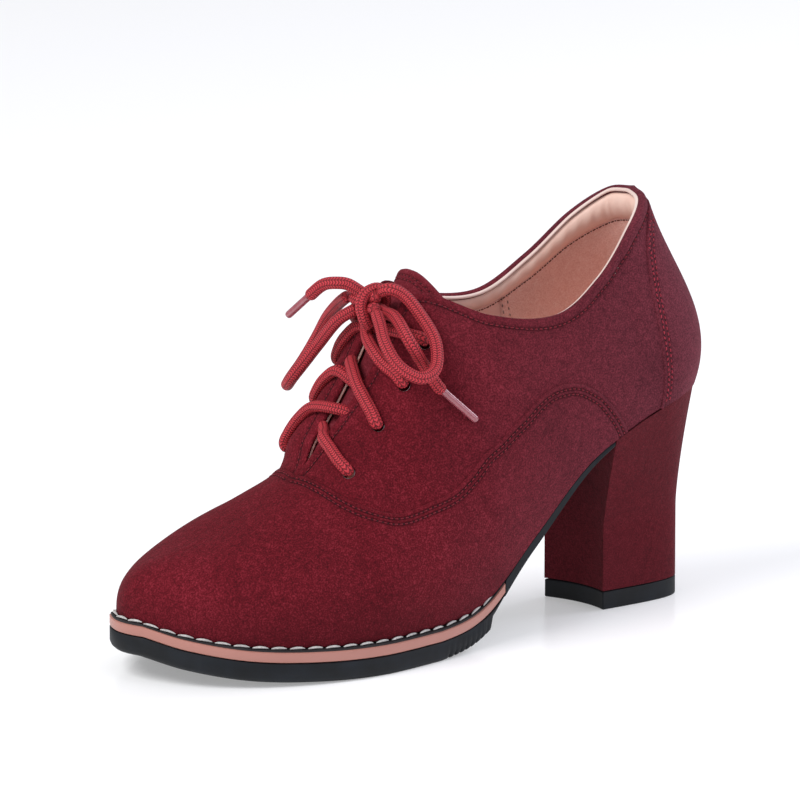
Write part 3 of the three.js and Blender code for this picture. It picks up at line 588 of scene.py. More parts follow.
def template(length, thick, rise, flat=1.0):
    """A single stitch: a bead drawn out along X, its ends bent down."""
    bpy.ops.object.select_all(action="DESELECT")
    bpy.ops.mesh.primitive_uv_sphere_add(segments=8, ring_count=6, radius=0.5, rotation=(0, math.pi / 2, 0))
    bead = bpy.context.object
    bpy.ops.object.transform_apply(location=False, rotation=True, scale=False)
    points = np.array([v.co for v in bead.data.vertices]) * [length, thick, thick * flat]
    points[:, 2] += rise * (1 - (2 * points[:, 0] / length) ** 2)
    faces = [tuple(p.vertices) for p in bead.data.polygons]
    bpy.data.objects.remove(bead)
    return points, faces


def sewn(name, lines, shape, pitch, finish, start=0.5, skew=0.0):
    """One piece from copies of a shape at an even pitch along lines of (points, normals). skew
    turns each copy in the surface."""
    points, faces, first = [], [], 0
    for line, normals in lines:
        run = run_along(line)
        where = np.arange(start * pitch, run[-1] - 0.3 * pitch, pitch)

        def taken(rows, at):
            return np.stack([np.interp(at, run, rows[:, k]) for k in range(3)], -1)

        ups = unit(taken(normals, where))
        way = unit(taken(line, where + 0.2) - taken(line, where - 0.2))
        way = unit(way * math.cos(skew) + np.cross(ups, way) * math.sin(skew))
        side = unit(np.cross(ups, way))
        beads = taken(line, where)[:, None] + sum(
            shape[0][None, :, k:k + 1] * axis[:, None] for k, axis in enumerate((way, side, ups)))
        points.append(beads.reshape(-1, 3))
        for _ in where:
            faces += [tuple(first + k for k in face) for face in shape[1]]
            first += len(shape[0])
    made = new_piece(name, np.concatenate(points), faces, finish)
    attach(made, "root")
    return made


# Bonded polyester thread: smooth, tightly twisted, a little glossier than the suede round it.
def thread(name, colour):
    made, tree, shader = material(name, Roughness=0.6)
    shader.inputs["Specular IOR Level"].default_value = 0.2
    place = add(tree, "TexCoord").outputs["Object"]
    twist_groove_shade = add(tree, "TexWave", {"Vector": place, "Scale": 1000 / 2.2, "Distortion": 1.5})
    lit = linear(colour)
    # painted shade: bands across the thread at 0.62 of its colour, for the twist's grooves
    ramp = add(tree, "ValToRGB", {"Fac": twist_groove_shade.outputs["Fac"]})
    ramp.color_ramp.elements[0].color = [c * 0.62 for c in lit[:3]] + [1]
    ramp.color_ramp.elements[1].color = lit
    tree.links.new(ramp.outputs["Color"], shader.inputs["Base Color"])
    return made


def needle_hole(name):
    """Painted shadow in a needle's hole, where the fibres are pushed in: dark, soft and matt."""
    made, tree, shader = material(name, Roughness=0.95)
    place = add(tree, "TexCoord").outputs["Object"]
    fuzz = noise(tree, place, 0.6)
    tree.links.new(coloured(tree, fuzz, (0, "#17040a"), (1, "#3a0d15")), shader.inputs["Base Color"])
    return made


dark_thread = thread("bonded_thread_burgundy", "#862431")
light_thread = thread("bonded_thread_rose", "#a83242")
hole_shade_finish = needle_hole("needle_hole_shadow")
stitch = template(1.35, THREAD, 0.12)
# a flat dark bead, the painted shadow of a needle hole
shade_bead = template(0.62, 0.55, 0.0, 0.35)


def first_past(away, distance):
    """Where a row of distances first grows past one, or None."""
    hit = np.flatnonzero((away[:-1] < distance) & (away[1:] >= distance))
    return hit[0] if len(hit) else None


def rows_at(ribs, top, distance, line):
    """Where a seam runs: the ribs and shares at a distance from an edge, looking down each rib."""
    runs = []
    for s, high in zip(ribs, top):
        v = np.linspace(high, max(high - 0.5, 0), 260)
        away = nearest(on_last(np.full(260, s), v), line)
        k = first_past(away, distance)
        if k is not None and away[0] < distance:
            t = (distance - away[k]) / (away[k + 1] - away[k])
            runs.append((s, v[k] + t * (v[k + 1] - v[k])))
    found = np.array(runs)
    return found[:, 0], found[:, 1]


def as_line(ribs, shares, lift):
    """Points on the folded suede, with the way out at each."""
    return on_suede(ribs, shares, lift), upper_normal(ribs, shares)


seam_ribs = np.linspace(-THROAT + 0.02, THROAT - 0.02, 420)
ribs, shares = rows_at(seam_ribs, np.ones(len(seam_ribs)), ROW_IN, free_edge[::3])
topline_rows = [as_line(ribs, shares, -0.1)]
sewn("topline_stitches", topline_rows, stitch, PITCH, dark_thread)
sewn("topline_hole_shadows", topline_rows, shade_bead, PITCH, hole_shade_finish, 1.0)
vamp_rows = []
for row in ROWS_IN:
    for side in (1, -1):
        own = np.concatenate([np.linspace(3.3, 7.5, 130), np.linspace(7.52, 8.9, 90)])
        ribs, shares = rows_at(side * own, covered(own), row, vamp_line[::3])
        vamp_rows.append(as_line(ribs, shares, LAP - 0.14))
sewn("vamp_stitches", vamp_rows, stitch, PITCH, dark_thread)
sewn("vamp_hole_shadows", vamp_rows, shade_bead, PITCH, hole_shade_finish, 1.0)
counter_rows = []
for row in COUNTER_ROWS:
    for side in (1, -1):
        levels = np.linspace(0.03, 0.94, 70)
        reach = between(COUNTER, 1, levels)
        inside = []
        for level, end in zip(levels, reach):
            s = side * np.linspace(end, end - 0.6, 120)
            away = nearest(on_last(s, np.full(120, level)), np.concatenate(sides)[::2])
            k = first_past(away, row)
            if k is not None:
                inside.append((s[k], level))
        inside = np.array(inside)
        counter_rows.append(as_line(inside[:, 0], inside[:, 1], LAP - 0.06))
sewn("counter_stitches", counter_rows, stitch, PITCH, light_thread)
sewn("counter_hole_shadows", counter_rows, shade_bead, PITCH, hole_shade_finish, 1.0)

# The lining: pink sheep-finish polyurethane leather glued inside the quarters and the vamp, its
# cream cut edge showing along the facings.
LINING = 0.95


def leather(name, dark, light, grain_mm, gloss=0.52):
    """Coated lining leather: a fine closed grain, a soft even shine, a little colour drift."""
    made, tree, shader = material(name, Roughness=gloss)
    place = add(tree, "TexCoord").outputs["Object"]
    grain = add(tree, "TexVoronoi", {"Vector": place, "Scale": 1000 / grain_mm}, feature="DISTANCE_TO_EDGE")
    drift = noise(tree, place, 22, 4.0)
    tree.links.new(coloured(tree, drift, (0.3, dark), (0.7, light)), shader.inputs["Base Color"])
    raised(tree, shader, grain.outputs["Distance"], 0.1, 0.35)
    return made


lining_leather = leather("coated_lining_leather", "#f0c4b8", "#fad8cc", 0.9)
ribs = np.unique(np.concatenate([np.linspace(-TOE, TOE, 241), [-THROAT, THROAT]]))
shares = np.repeat(np.linspace(0.0, 1.0, 30)[None], len(ribs), 0)
lining = shell("lining", ribs, shares, 0 * shares - SUEDE, 0 * shares - SUEDE - LINING, lining_leather, 0.3,
               ring=True)
punch(lining)
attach(lining, "root")
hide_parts("upper")

# The heel grip: tan microsuede over the lining round the heel, sewn on with a double row at its
# front edge.
grip_suede = suede("tan_microsuede_grip", "#e4ab9e", "#f4c8bc", "#fde0d7")
GRIP_END = 3.55
ribs = np.linspace(-GRIP_END, GRIP_END, 121)
shares = np.repeat(np.linspace(0.05, 0.99, 30)[None], len(ribs), 0)
inside = -SUEDE - LINING
edge_fade = 1 - np.clip(np.abs(np.abs(ribs) - GRIP_END)[:, None] / 0.06, 0, 1)
flat = 0 * shares
heel_grip = shell("heel_grip", ribs, shares, flat + inside + 0.1, flat + inside - 0.6 + 0.5 * edge_fade,
                  grip_suede, 0.05, {"shade": flat})
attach(heel_grip, "root")

# The collar: a foam roll under lining leather inside the topline, soft and full at the heel and
# thin towards the facings, held down by a stitched line, with cream piping along its top.
roll_ribs = np.linspace(-5.1, 5.1, 241)
width = 9.5 - 5.0 * smooth(np.abs(roll_ribs), 1.0, 4.9)
full = 2.6 - 1.7 * smooth(np.abs(roll_ribs), 1.5, 5.0)
rib_length = np.linalg.norm(rib_end(roll_ribs) - foot(roll_ribs), axis=-1)
t = np.linspace(0, 1, 22)
shares = 0.985 - t[None] * (width / rib_length)[:, None]
ends = np.sqrt(np.clip(1 - (np.abs(roll_ribs) / 5.1) ** 14, 0, 1))
swell = full[:, None] * np.sin(math.pi * np.clip(t, 0, 1)[None] ** 0.8) ** 0.6 * ends[:, None]
wrinkle = 0.16 * np.sin(roll_ribs * 19.0)[:, None] * np.sin(math.pi * t)[None]
face_in = on_upper(roll_ribs[:, None] + 0 * shares, shares, inside - 0.55 - swell - wrinkle * (swell > 0.2))
back = on_upper(roll_ribs[:, None] + 0 * shares, shares, 0 * shares + inside + 0.15)[:, ::-1]
grid = np.concatenate([face_in, back], 1)
roll_leather = leather("foam_backed_lining_leather", "#eec4b4", "#f8d8ca", 1.0, 0.6)
collar = new_piece("collar_roll", grid, capped(*grid.shape[:2]), roll_leather, angle=60)
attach(collar, "root")


def sweep(line, frame_a, frame_b, radius_a, radius_b, sides):
    """A tube along points with rounded, closed ends: its grid, its faces and the run of each ring."""
    run = run_along(line)
    turn = np.linspace(0, 2 * math.pi, sides, endpoint=False)
    from_end = np.minimum(run, run[-1] - run) / np.max(radius_a)
    scale = np.maximum(np.sqrt(np.clip(1 - np.clip(1 - from_end, 0, 1) ** 2, 0, 1)), 0.02)
    ring = (frame_a[:, None] * np.cos(turn)[None, :, None] * radius_a
            + frame_b[:, None] * np.sin(turn)[None, :, None] * radius_b) * scale[:, None, None]
    grid = line[:, None] + ring
    return grid, capped(*grid.shape[:2]), run


piping_leather = leather("cream_piping", "#e3c6bd", "#f2ddd4", 1.1, 0.45)
piping_ribs = np.linspace(-5.55, 5.55, 420)


def eased(rows):
    """A row of points with its corner at the back seam rounded."""
    reach = 16
    weights = np.hanning(2 * reach + 3)[1:-1]
    padded = np.concatenate([np.repeat(rows[:1], reach, 0), rows, np.repeat(rows[-1:], reach, 0)])
    soft = np.stack([np.convolve(padded[:, k], weights / weights.sum(), "valid") for k in range(3)], -1)
    near_back = smooth(1.6 - np.abs(piping_ribs), 0, 1)[:, None]
    return rows * (1 - near_back) + soft * near_back


up = unit(eased(unit(on_last(piping_ribs, np.full(420, 1.0)) - on_last(piping_ribs, np.full(420, 0.98)))))
across = unit(eased(upper_normal(piping_ribs, np.full(420, 1.0))))
# the suede is turned over the foam in a full round edge, and the piping stands inside it
plump = 1 - smooth(np.abs(piping_ribs), 4.2, 5.4)
line = eased(on_upper(piping_ribs, np.full(420, 1.0), -0.75 - 0.75 * plump)) - up * 0.25
full = plump[:, None, None]
grid, faces, _ = sweep(line, across, up, 0.8 + 0.85 * full, 0.8 + 0.5 * full, 16)
fold = new_piece("topline_fold", grid, faces, upper_suede, {"shade": np.zeros(grid.shape[:2])}, angle=70)
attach(fold, "root")
line = eased(on_upper(piping_ribs, np.full(420, 1.0), inside + 0.2 - 1.25 * plump)) + up * 0.25
grid, faces, _ = sweep(line, across, up, 0.75, 0.65, 10)
piping = new_piece("collar_piping", grid, faces, piping_leather, angle=70)
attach(piping, "root")

tan_thread = thread("lining_thread_tan", "#7c4a3e")
silver_thread = thread("lining_thread_pale", "#c9a99c")
seam_shares = shares[:, -1] - 0.9 / rib_length
ribs = roll_ribs[6:-6]
line = on_upper(ribs, seam_shares[6:-6], np.full(len(ribs), inside - 0.65))
collar_row = [(line, -upper_normal(ribs, seam_shares[6:-6]))]
sewn("collar_stitches", collar_row, stitch, 2.4, tan_thread)
sewn("collar_hole_shadows", collar_row, shade_bead, 2.4, hole_shade_finish, 1.0)
grip_rows = []
for side in (1, -1):
    for shift in (0.05, 0.16):
        v = np.linspace(0.08, 0.88, 60)
        s = np.full(60, side * (GRIP_END - shift))
        grip_rows.append((on_upper(s, v, np.full(60, inside - 0.6)), -upper_normal(s, v)))
sewn("grip_stitches", grip_rows, stitch, 2.6, silver_thread)

# The insole: a board with a thin foam pad, covered in the lining leather and glued in.
INSOLE = 2.2


def sole_point(s, margin, height):
    point = foot(s) + outward(s) * np.asarray(margin, float)[..., None]
    point[..., 2] = foot_height(point[..., 0]) + height
    return point


def slab(name, ribs, levels, finish, angle):
    """A sole layer: levels are (margin, height) for each rib from the top to the underside. The
    outline runs down the lateral side, and its faces cross to the medial side."""
    ribs = np.asarray(ribs, float)
    grids = []
    for margin, height in levels:
        one = sole_point(ribs, margin + 0 * ribs, height + 0 * ribs)
        other = sole_point(-ribs, margin + 0 * ribs, height + 0 * ribs)
        w = np.linspace(0, 1, 9)[None, :, None]
        grid = one[:, None] * (1 - w) + other[:, None] * w
        grid[..., 2] = foot_height(grid[..., 0]) + (height + 0 * ribs)[:, None]
        grids.append(grid)
    grids = np.stack(grids)
    depth, n, m = grids.shape[:3]
    corner = np.arange(depth * n * m).reshape(depth, n, m)
    faces = []
    for sheet in (corner[0], corner[-1], corner[:, :, 0], corner[:, :, -1], corner[:, 0], corner[:, -1]):
        for i, k in np.ndindex(sheet.shape[0] - 1, sheet.shape[1] - 1):
            faces.append((sheet[i, k], sheet[i, k + 1], sheet[i + 1, k + 1], sheet[i + 1, k]))
    used = sorted({number for face in faces for number in face})
    new = {number: i for i, number in enumerate(used)}
    faces = [tuple(new[number] for number in face) for face in faces]
    return new_piece(name, grids.reshape(-1, 3)[used], faces, finish, angle=angle)


ribs = np.linspace(0, TOE, 121)
inset = -WALL - 2 * GAP
insole = slab("sock_lining", ribs, [(inset - 1.6, INSOLE), (inset - 0.5, INSOLE - 0.2), (inset, INSOLE - 0.8),
                               (inset, 0.0)], lining_leather, angle=60)
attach(insole, "root")
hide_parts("insole")

# The tongue: suede over thin foam, under both facings and standing up behind the knot, with a
# double row just inside its edge.
TONGUE, TONGUE_RISE, TONGUE_TOP, TONGUE_FOOT = 2.4, 11.8, 5.3, 8.9
FLANK, NEAR_EDGE, BULGE = 0.21, 0.97, 1.5
FACING_LINE = unit(np.array([-0.43, 0, 0.9]))
under = -(WALL + 4 * GAP)


def tongue_point(a, w):
    """A point of the tongue's face: a is the rib, w runs from -1 on the medial side to 1."""
    above = np.maximum(CORNER - a, 0) / (CORNER - TONGUE_TOP)
    low = NEAR_EDGE - np.maximum(FLANK * (1 - above), 0.01)
    bridge = 5 / 7
    t = np.clip(w / bridge, -1, 1)
    flank = np.clip((np.abs(w) - bridge) / (1 - bridge), 0, 1)
    share = NEAR_EDGE + (low - NEAR_EDGE) * flank
    one, other = on_upper(a, share, share * 0 + under), on_upper(-a, share, share * 0 + under)
    mix = ((1 - t) / 2)[..., None]
    base = one * (1 - mix) + other * mix
    crown_rib = np.maximum(a, CORNER)
    crown = on_upper(crown_rib, a * 0 + NEAR_EDGE, a * 0 + under)
    crown += FACING_LINE * (TONGUE_RISE * above)[..., None]
    crown[..., 0] += BULGE
    raised = (1 - np.abs(t) ** 2.6) * (np.abs(w) <= bridge)
    for k in (0, 2):
        base[..., k] = base[..., k] * (1 - raised) + crown[..., k] * raised
    return base


stations = np.concatenate([np.linspace(TONGUE_TOP, CORNER, 26)[:-1], np.linspace(CORNER, THROAT, 60)[:-1],
                           np.linspace(THROAT, TONGUE_FOOT, 12)])
ways = np.linspace(1, -1, 61)
face = tongue_point(stations[:, None] + 0 * ways[None], 0 * stations[:, None] + ways[None])
run = np.gradient(face, axis=0)
normal = unit(np.cross(np.gradient(face, axis=1), run))
border = np.concatenate([face[0], face[:, 0], face[:, -1]])
away = nearest(face, border)
pad = TONGUE / 2 * np.sqrt(1 - np.clip(1 - away / 1.4, 0, 1) ** 2)
tongue_rows = [np.exp(-((away - row) / 0.45) ** 2) for row in (2.4, 4.0)]
dip = 0.25 * sum(tongue_rows)
front = face - normal * (TONGUE / 2 - pad + dip)[..., None]
rear = face - normal * (TONGUE / 2 + pad)[..., None]
tongue_suede = suede("tongue_microfibre_suede", "#4f131c", "#74232e", "#93404b")
# painted shade along the tongue's two stitch rows
groove_shade = np.concatenate([0.5 * sum(tongue_rows), 0 * away])
tongue = new_piece("padded_tongue", np.concatenate([front, rear]), two_sided(*away.shape), tongue_suede,
                   {"shade": groove_shade}, angle=60)
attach(tongue, "root")
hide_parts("tongue")
rows = []
for inset in (2.4, 4.0):
    tops = []
    for j in range(away.shape[1]):
        k = first_past(away[:, j], inset)
        if k is not None:
            tops.append(front[k, j] * 0.5 + front[k + 1, j] * 0.5)
    tops = np.array(tops)
    ups = np.repeat(unit(np.array([[0.85, 0.0, 0.5]])), len(tops), 0)
    rows.append((tops, ups))
sewn("tongue_stitches", rows, stitch, PITCH, dark_thread)
sewn("tongue_hole_shadows", rows, shade_bead, PITCH, hole_shade_finish, 1.0)

# The eyelets: small nickel-plated brass eyelets, set under the suede so that only a thin rolled
# rim shows round each hole.
nickel, tree, shader = material("nickel_plated_brass", Metallic=1.0, Roughness=0.28)
place = add(tree, "TexCoord").outputs["Object"]
rub = noise(tree, place, 0.8, 4.0)
tree.links.new(coloured(tree, rub, (0, "#8d8887"), (1, "#c9c4c2")), shader.inputs["Base Color"])
bpy.ops.object.select_all(action="DESELECT")
BORE_RADIUS = 1.95
bpy.ops.mesh.primitive_circle_add(vertices=32, radius=BORE_RADIUS / 1000, fill_type="NOTHING")
eyelet = bpy.context.object
bpy.ops.object.mode_set(mode="EDIT")
bpy.ops.mesh.select_all(action="SELECT")
bpy.ops.transform.translate(value=(0, 0, -0.002))
for grow, lift in ((1.0, 0.0015), (1.03, 0.0002), (1.06, 0.0001), (1.08, -0.0001), (1.02, -0.0003),
                   (0.97, -0.0012)):
    bpy.ops.mesh.extrude_edges_move()
    bpy.ops.transform.resize(value=(grow, grow, 1))
    bpy.ops.transform.translate(value=(0, 0, lift))
bpy.ops.object.mode_set(mode="OBJECT")
ring = eyelet.data.copy()
bpy.data.objects.remove(eyelet)
for number, (rib, share) in enumerate(EYELETS, 1):
    for side, word in ((1, "lateral"), (-1, "medial")):
        own = ring.copy()
        place = on_suede(side * rib, share, 0.05)
        turn = Vector(upper_normal(side * rib, share)).to_track_quat("Z", "Y").to_matrix().to_4x4()
        own.transform(Matrix.Translation(Vector(moved(place))) @ turn)
        made = bpy.data.objects.new(f"eyelet_{word}_{number}_rim", own)
        bpy.context.scene.collection.objects.link(made)
        own.materials.append(nickel)
        dress(made, 60)
        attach(made, "root")
        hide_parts(f"eyelet_{word}_{number}")

# The lace: a round braided polyester cord, criss-crossed up through the eyelets and tied in a bow.
# Its strands show as rows of small V ribs.
LACE = 4.4
lace_braid, tree, shader = material("braided_polyester_cord", Roughness=0.62, Sheen_Weight=0.05)
shader.inputs["Specular IOR Level"].default_value = 0.35
shader.inputs["Sheen Tint"].default_value = linear("#e08a90")
uv = add(tree, "UVMap", uv_map="UVMap").outputs["UV"]
split = add(tree, "SeparateXYZ", {"Vector": uv})
COLUMNS, RIB_MM = 14, 0.9
strands = add(tree, "Math", {0: split.outputs["X"], 1: float(COLUMNS)}, operation="MULTIPLY")
wave = add(tree, "Math", {0: strands.outputs[0], 1: 1.0}, operation="PINGPONG")
rise = add(tree, "Math", {0: split.outputs["Y"], 1: 1 / RIB_MM}, operation="MULTIPLY")
slant = add(tree, "Math", {0: wave.outputs[0], 1: 0.62, 2: rise.outputs[0]}, operation="MULTIPLY_ADD")
rib = add(tree, "Math", {0: slant.outputs[0], 1: 0.5}, operation="PINGPONG")
# the height within a rib, and the channel between two columns of V ribs
bead = add(tree, "MapRange", {"Value": rib.outputs[0], "From Min": 0.0, "From Max": 0.34, "To Min": 0.15},
           interpolation_type="SMOOTHSTEP")
channel = add(tree, "MapRange", {"Value": wave.outputs[0], "From Min": 0.0, "From Max": 0.32, "To Min": 0.22},
              interpolation_type="SMOOTHSTEP")
height = add(tree, "Math", {0: bead.outputs["Result"], 1: channel.outputs["Result"]}, operation="MULTIPLY")
# the cord's red, with painted shade down in the channels and the ribs' troughs and a painted highlight on the ribs'
# tops, all by height
red_rib_shade_and_highlight = coloured(tree, height.outputs[0], (0, "#40070e"), (0.45, "#8c1c27"), (1, "#c63842"))
tree.links.new(red_rib_shade_and_highlight, shader.inputs["Base Color"])
raised(tree, shader, height.outputs[0], 0.3, 0.8)


def curve_through(points, step=0.6):
    """A centripetal spline through points, at an even step in millimetres."""
    p = np.asarray(points, float)
    p = np.concatenate([[2 * p[0] - p[1]], p, [2 * p[-1] - p[-2]]])
    out = []
    for k in range(1, len(p) - 2):
        quad = p[k - 1:k + 3]
        spans = np.maximum(np.linalg.norm(np.diff(quad, axis=0), axis=1), 1e-6) ** 0.5
        knots = np.concatenate([[0], np.cumsum(spans)])
        t = np.linspace(knots[1], knots[2], 24, endpoint=False)[:, None]

        def mix(a, b, low, high):
            return a * (high - t) / (high - low) + b * (t - low) / (high - low)

        a = [mix(quad[i], quad[i + 1], knots[i], knots[i + 1]) for i in range(3)]
        b = [mix(a[i], a[i + 1], knots[i], knots[i + 2]) for i in range(2)]
        out.append(mix(b[0], b[1], knots[1], knots[2]))
    out = np.concatenate(out + [p[-2:-1]])
    run = run_along(out)
    at = np.linspace(0, run[-1], max(int(run[-1] / step), 4) + 1)
    return np.stack([np.interp(at, run, out[:, k]) for k in range(3)], -1)


def carried_frame(line):
    """A frame carried along a line without twist."""
    way = unit(np.gradient(line, axis=0))
    side = unit(np.cross(way[0], [0.31, 0.2, 0.93]))
    sides = []
    for t in way:
        side = unit(side - t * (side @ t))
        sides.append(side)
    sides = np.array(sides)
    return sides, np.cross(way, sides)


def braided(points, wide=LACE, flat=1.0):
    """The grid, faces, UVs and centreline of a braided cord through points in millimetres."""
    sides = 20
    line = curve_through(points)
    a, b = carried_frame(line)
    grid, faces, run = sweep(line, a, b, wide / 2, wide / 2 * flat, sides)
    u = np.repeat(np.linspace(0, 1, sides, endpoint=False)[None], len(line), 0)
    v = np.repeat(run[:, None], sides, 1)
    return grid.reshape(-1, 3), faces, np.stack([u, v], -1).reshape(-1, 2), line


def cord_piece(name, parts):
    """One mesh from braided parts. The UVs' last strip is written past 1, so that no strip folds back."""
    points, faces, uvs = [], [], []
    for grid, own_faces, uv, _ in parts:
        first = sum(len(p) for p in points)
        points.append(grid)
        faces += [tuple(first + k for k in f) for f in own_faces]
        uvs.append(uv)
    made = new_piece(name, np.concatenate(points), faces, lace_braid, uv=np.concatenate(uvs), angle=80)
    layer = made.data.uv_layers[0].data
    for polygon in made.data.polygons:
        us = [layer[i].uv[0] for i in polygon.loop_indices]
        if max(us) - min(us) > 0.5 and len(us) <= 4:
            for i in polygon.loop_indices:
                if layer[i].uv[0] < 0.5:
                    layer[i].uv[0] += 1.0
    return made


# Each strand's way over the upper, as rib, share and the centre's height above the suede; a share
# of 0 is the middle of the throat. The first of each pair comes from the lateral eyelet.
STRANDS = [
    ([(7.82, 0.745, -1.5), (7.82, 0.752, 1.2), (7.82, 0.8, 2.1), (7.77, 0.892, 2.2), (7.71, 0.975, 2.0),
      (7.6, 0, -0.4), (-7.5, 0.985, -2.4), (-7.46, 0.965, -3.6)],
     [(-7.82, 0.745, -1.5), (-7.8, 0.752, 1.3), (-7.66, 0.79, 1.6), (-7.45, 0.85, 1.5), (-7.3, 0.93, 1.8),
      (7.22, 0, 2.2), (7.19, 0.995, -1.6), (7.2, 0.965, -3.6)]),
    ([(6.98, 0.802, -1.5), (6.98, 0.81, 1.2), (6.93, 0.85, 2.1), (6.87, 0.916, 2.4), (6.8, 0.985, 2.8),
      (6.6, 0, 3.2), (-6.5, 0.995, -0.6), (-6.47, 0.965, -3.6)],
     [(-6.98, 0.802, -1.5), (-6.97, 0.81, 1.3), (-6.87, 0.85, 1.5), (-6.74, 0.9, 1.5), (-6.66, 0.97, 1.4),
      (6.72, 0, -1.2), (6.72, 0.99, -3.4)]),
    ([(6.31, 0.816, -1.5), (6.31, 0.824, 1.2), (6.31, 0.86, 2.1), (6.34, 0.924, 2.4), (6.33, 0.985, 2.8),
      (6.18, 0, 3.6), (-6.05, 0.995, -0.2), (-6.02, 0.965, -3.4)],
     [(-6.31, 0.816, -1.5), (-6.31, 0.824, 1.3), (-6.26, 0.865, 1.5), (-6.18, 0.92, 1.6), (-6.1, 0.98, 1.3),
      (6.06, 0, -0.2), (6.05, 0.98, 1.8), (6.0, 0.932, 2.2), (5.93, 0.872, 2.2), (5.88, 0.836, 1.4),
      (5.88, 0.826, -1.5)]),
]


def laid(way):
    route = []
    for rib, share, lift in way:
        route.append(on_suede(rib, share, lift) if share else on_upper(rib, 0.97, lift) * [1, 0, 1])
    return route


for number, pair in enumerate(STRANDS, 1):
    strand = cord_piece(f"lace_strands_{number}", [braided(laid(way), LACE * 1.08, 0.85) for way in pair])
    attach(strand, "root")
    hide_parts(f"lace_crossing_{number}")
route = laid([(-5.89, 0.828, -1.5), (-5.89, 0.836, 1.4), (-5.9, 0.88, 2.5), (-5.93, 0.98, 2.7)])
bar = cord_piece("lace_top_strand", [braided(route + [(133.4, -1.5, 115.2), (133, 0, 118.5)], LACE, 0.92)])
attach(bar, "root")
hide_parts("lace_bar")

# The knot: the lace wrapped once round itself, over the two strands that go on into the loops.
KNOT = np.array([132.8, 0, 121])


def seen(right, up, near):
    """A point by the knot, from its offsets in the photograph's plane and towards the camera."""
    return KNOT + RIGHT * right + UP * up + TOWARDS_CAMERA * near


wrap = [seen(-1.2, -8.8, 0.0), seen(-2.9, -5.6, 3.8), seen(-3.9, -0.7, 5.0), seen(-2.4, 2.9, 4.8),
        seen(1.7, 4.8, 3.2), seen(4.4, 2.8, 0.2), seen(4.0, -1.0, -3.0), seen(1.0, -5.5, -3.6),
        seen(-1.0, -8.2, -2.6)]
core = [(134.6, 6.0, 124.6), (134.2, 2.5, 123.0), (134.6, -1.5, 120.4), (135.4, -4.4, 118.9)]
other = [(137.0, 8.0, 120.9), (135.2, 3.0, 119.8), (135.0, -3.0, 121.0), (136.8, -8.0, 122.3)]
knot = cord_piece("lace_knot_wrap", [braided(wrap, LACE * 0.95), braided(core, LACE), braided(other, LACE)])
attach(knot, "root")
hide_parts("lace_knot")

# The bow: two limp loops and two short ends, each cord from the knot, close to the CAD source's
# points. The left loop turns round away from the camera, so its strands stand behind each other.
# An end's cord runs on inside its aglet to the tip. The film shows the red core through it, so
# it is drawn in the tint that the two make together.
AGLET_RADIUS, CORE = 1.38, 2.3
clear_film, tree, shader = material("clear_acetate_film", Roughness=0.18, Coat_Weight=1.0,
                                    Coat_Roughness=0.05)
place = add(tree, "TexCoord").outputs["Object"]
haze = noise(tree, place, 2.0, 3.0)
tree.links.new(coloured(tree, haze, (0, "#7c2631"), (1, "#ac626c")), shader.inputs["Base Color"])
LOOPS = {
    "right": [(133.5, 5, 125.4), (132, 9.3, 127.4), (128.5, 12.5, 125.5), (125.5, 19.5, 118.5), (124.5, 26.5, 110.5),
              (128, 31, 102.5), (134, 31.5, 100.5), (139.5, 27, 104), (141, 20.5, 110.5), (138.5, 13, 116.5),
              (137.5, 8.8, 120.5)],
    "left": [(135.6, -4.9, 118.5), (140, -10, 114), (143.1, -18, 104.2), (146.8, -21.8, 97.1), (149.1, -25.3, 91.7),
             (148, -30.3, 87.8), (143.7, -34.4, 88.7), (138.7, -34.3, 94.2), (135.2, -31.3, 102.2),
             (134, -25.7, 111.1), (134.9, -17.6, 117.5), (137, -8.6, 122.3)]}
ENDS = {
    "right": [(132.6, 2.5, 120), (132.2, 6, 118.7), (133, 14.3, 118.3), (133.6, 24.2, 111.4), (128.4, 25, 103),
              (124.6, 28, 95.6)],
    "left": [(133.5, 0.5, 121.8), (135.9, -3.7, 124.8), (138.8, -6.4, 127), (141.5, -8.6, 127.4),
             (144.5, -12.5, 126.5), (147, -17, 122.3)]}
AGLETS = {"right": [(124, 28.6, 94.8), (112.4, 34.4, 82.8)],
          "left": [(147.13, -17.24, 122.08), (151.6, -25.2, 113.5)]}
for side in ("right", "left"):
    parts = braided(LOOPS[side])
    loop = cord_piece(f"bow_loop_{side}", [parts])
    run = run_along(parts[3])[-1] / 1000
    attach(loop, "root")
    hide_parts(f"lace_loop_{side}")
    start, tip = np.array(AGLETS[side], float)
    middle, along = start * 0.5 + tip * 0.5, tip - start
    parts = braided(ENDS[side] + [tuple(start + along * 0.12)])
    core = braided([start, middle, start * 0.04 + tip * 0.96], CORE)
    end = cord_piece(f"bow_end_{side}", [parts, core])
    path = np.concatenate([parts[3], core[3][core[3] @ along > parts[3][-1] @ along + 3]])
    run = run_along(path)[-1] / 1000
    line = curve_through([start, middle, tip], 0.5)
    a, b = carried_frame(line)
    t = np.linspace(0, 1, len(line))
    swell = 1 + 0.05 * np.exp(-((t - 0.03) / 0.04) ** 2) + 0.04 * np.exp(-((t - 0.97) / 0.03) ** 2)
    grid, faces, _ = sweep(line, a * swell[:, None], b * swell[:, None], AGLET_RADIUS, AGLET_RADIUS, 20)
    aglet = new_piece(f"aglet_{side}_film", grid, faces, clear_film, angle=70)
    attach(end, "root")
    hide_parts(f"lace_end_{side}")
    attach(aglet, "root")
    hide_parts(f"aglet_{side}")

# The runner and its welt: a smooth pink-tan polyurethane band round the forefoot with a thin black
# welt on it, on whose shelf a thick white thread is laid in a mock storm stitch.
WELT_OUT, WAIST_OUT = 3.3, 0.6


def sole_margin(s):
    return WAIST_OUT + (WELT_OUT - WAIST_OUT) * smooth(s, 5.2, 7)


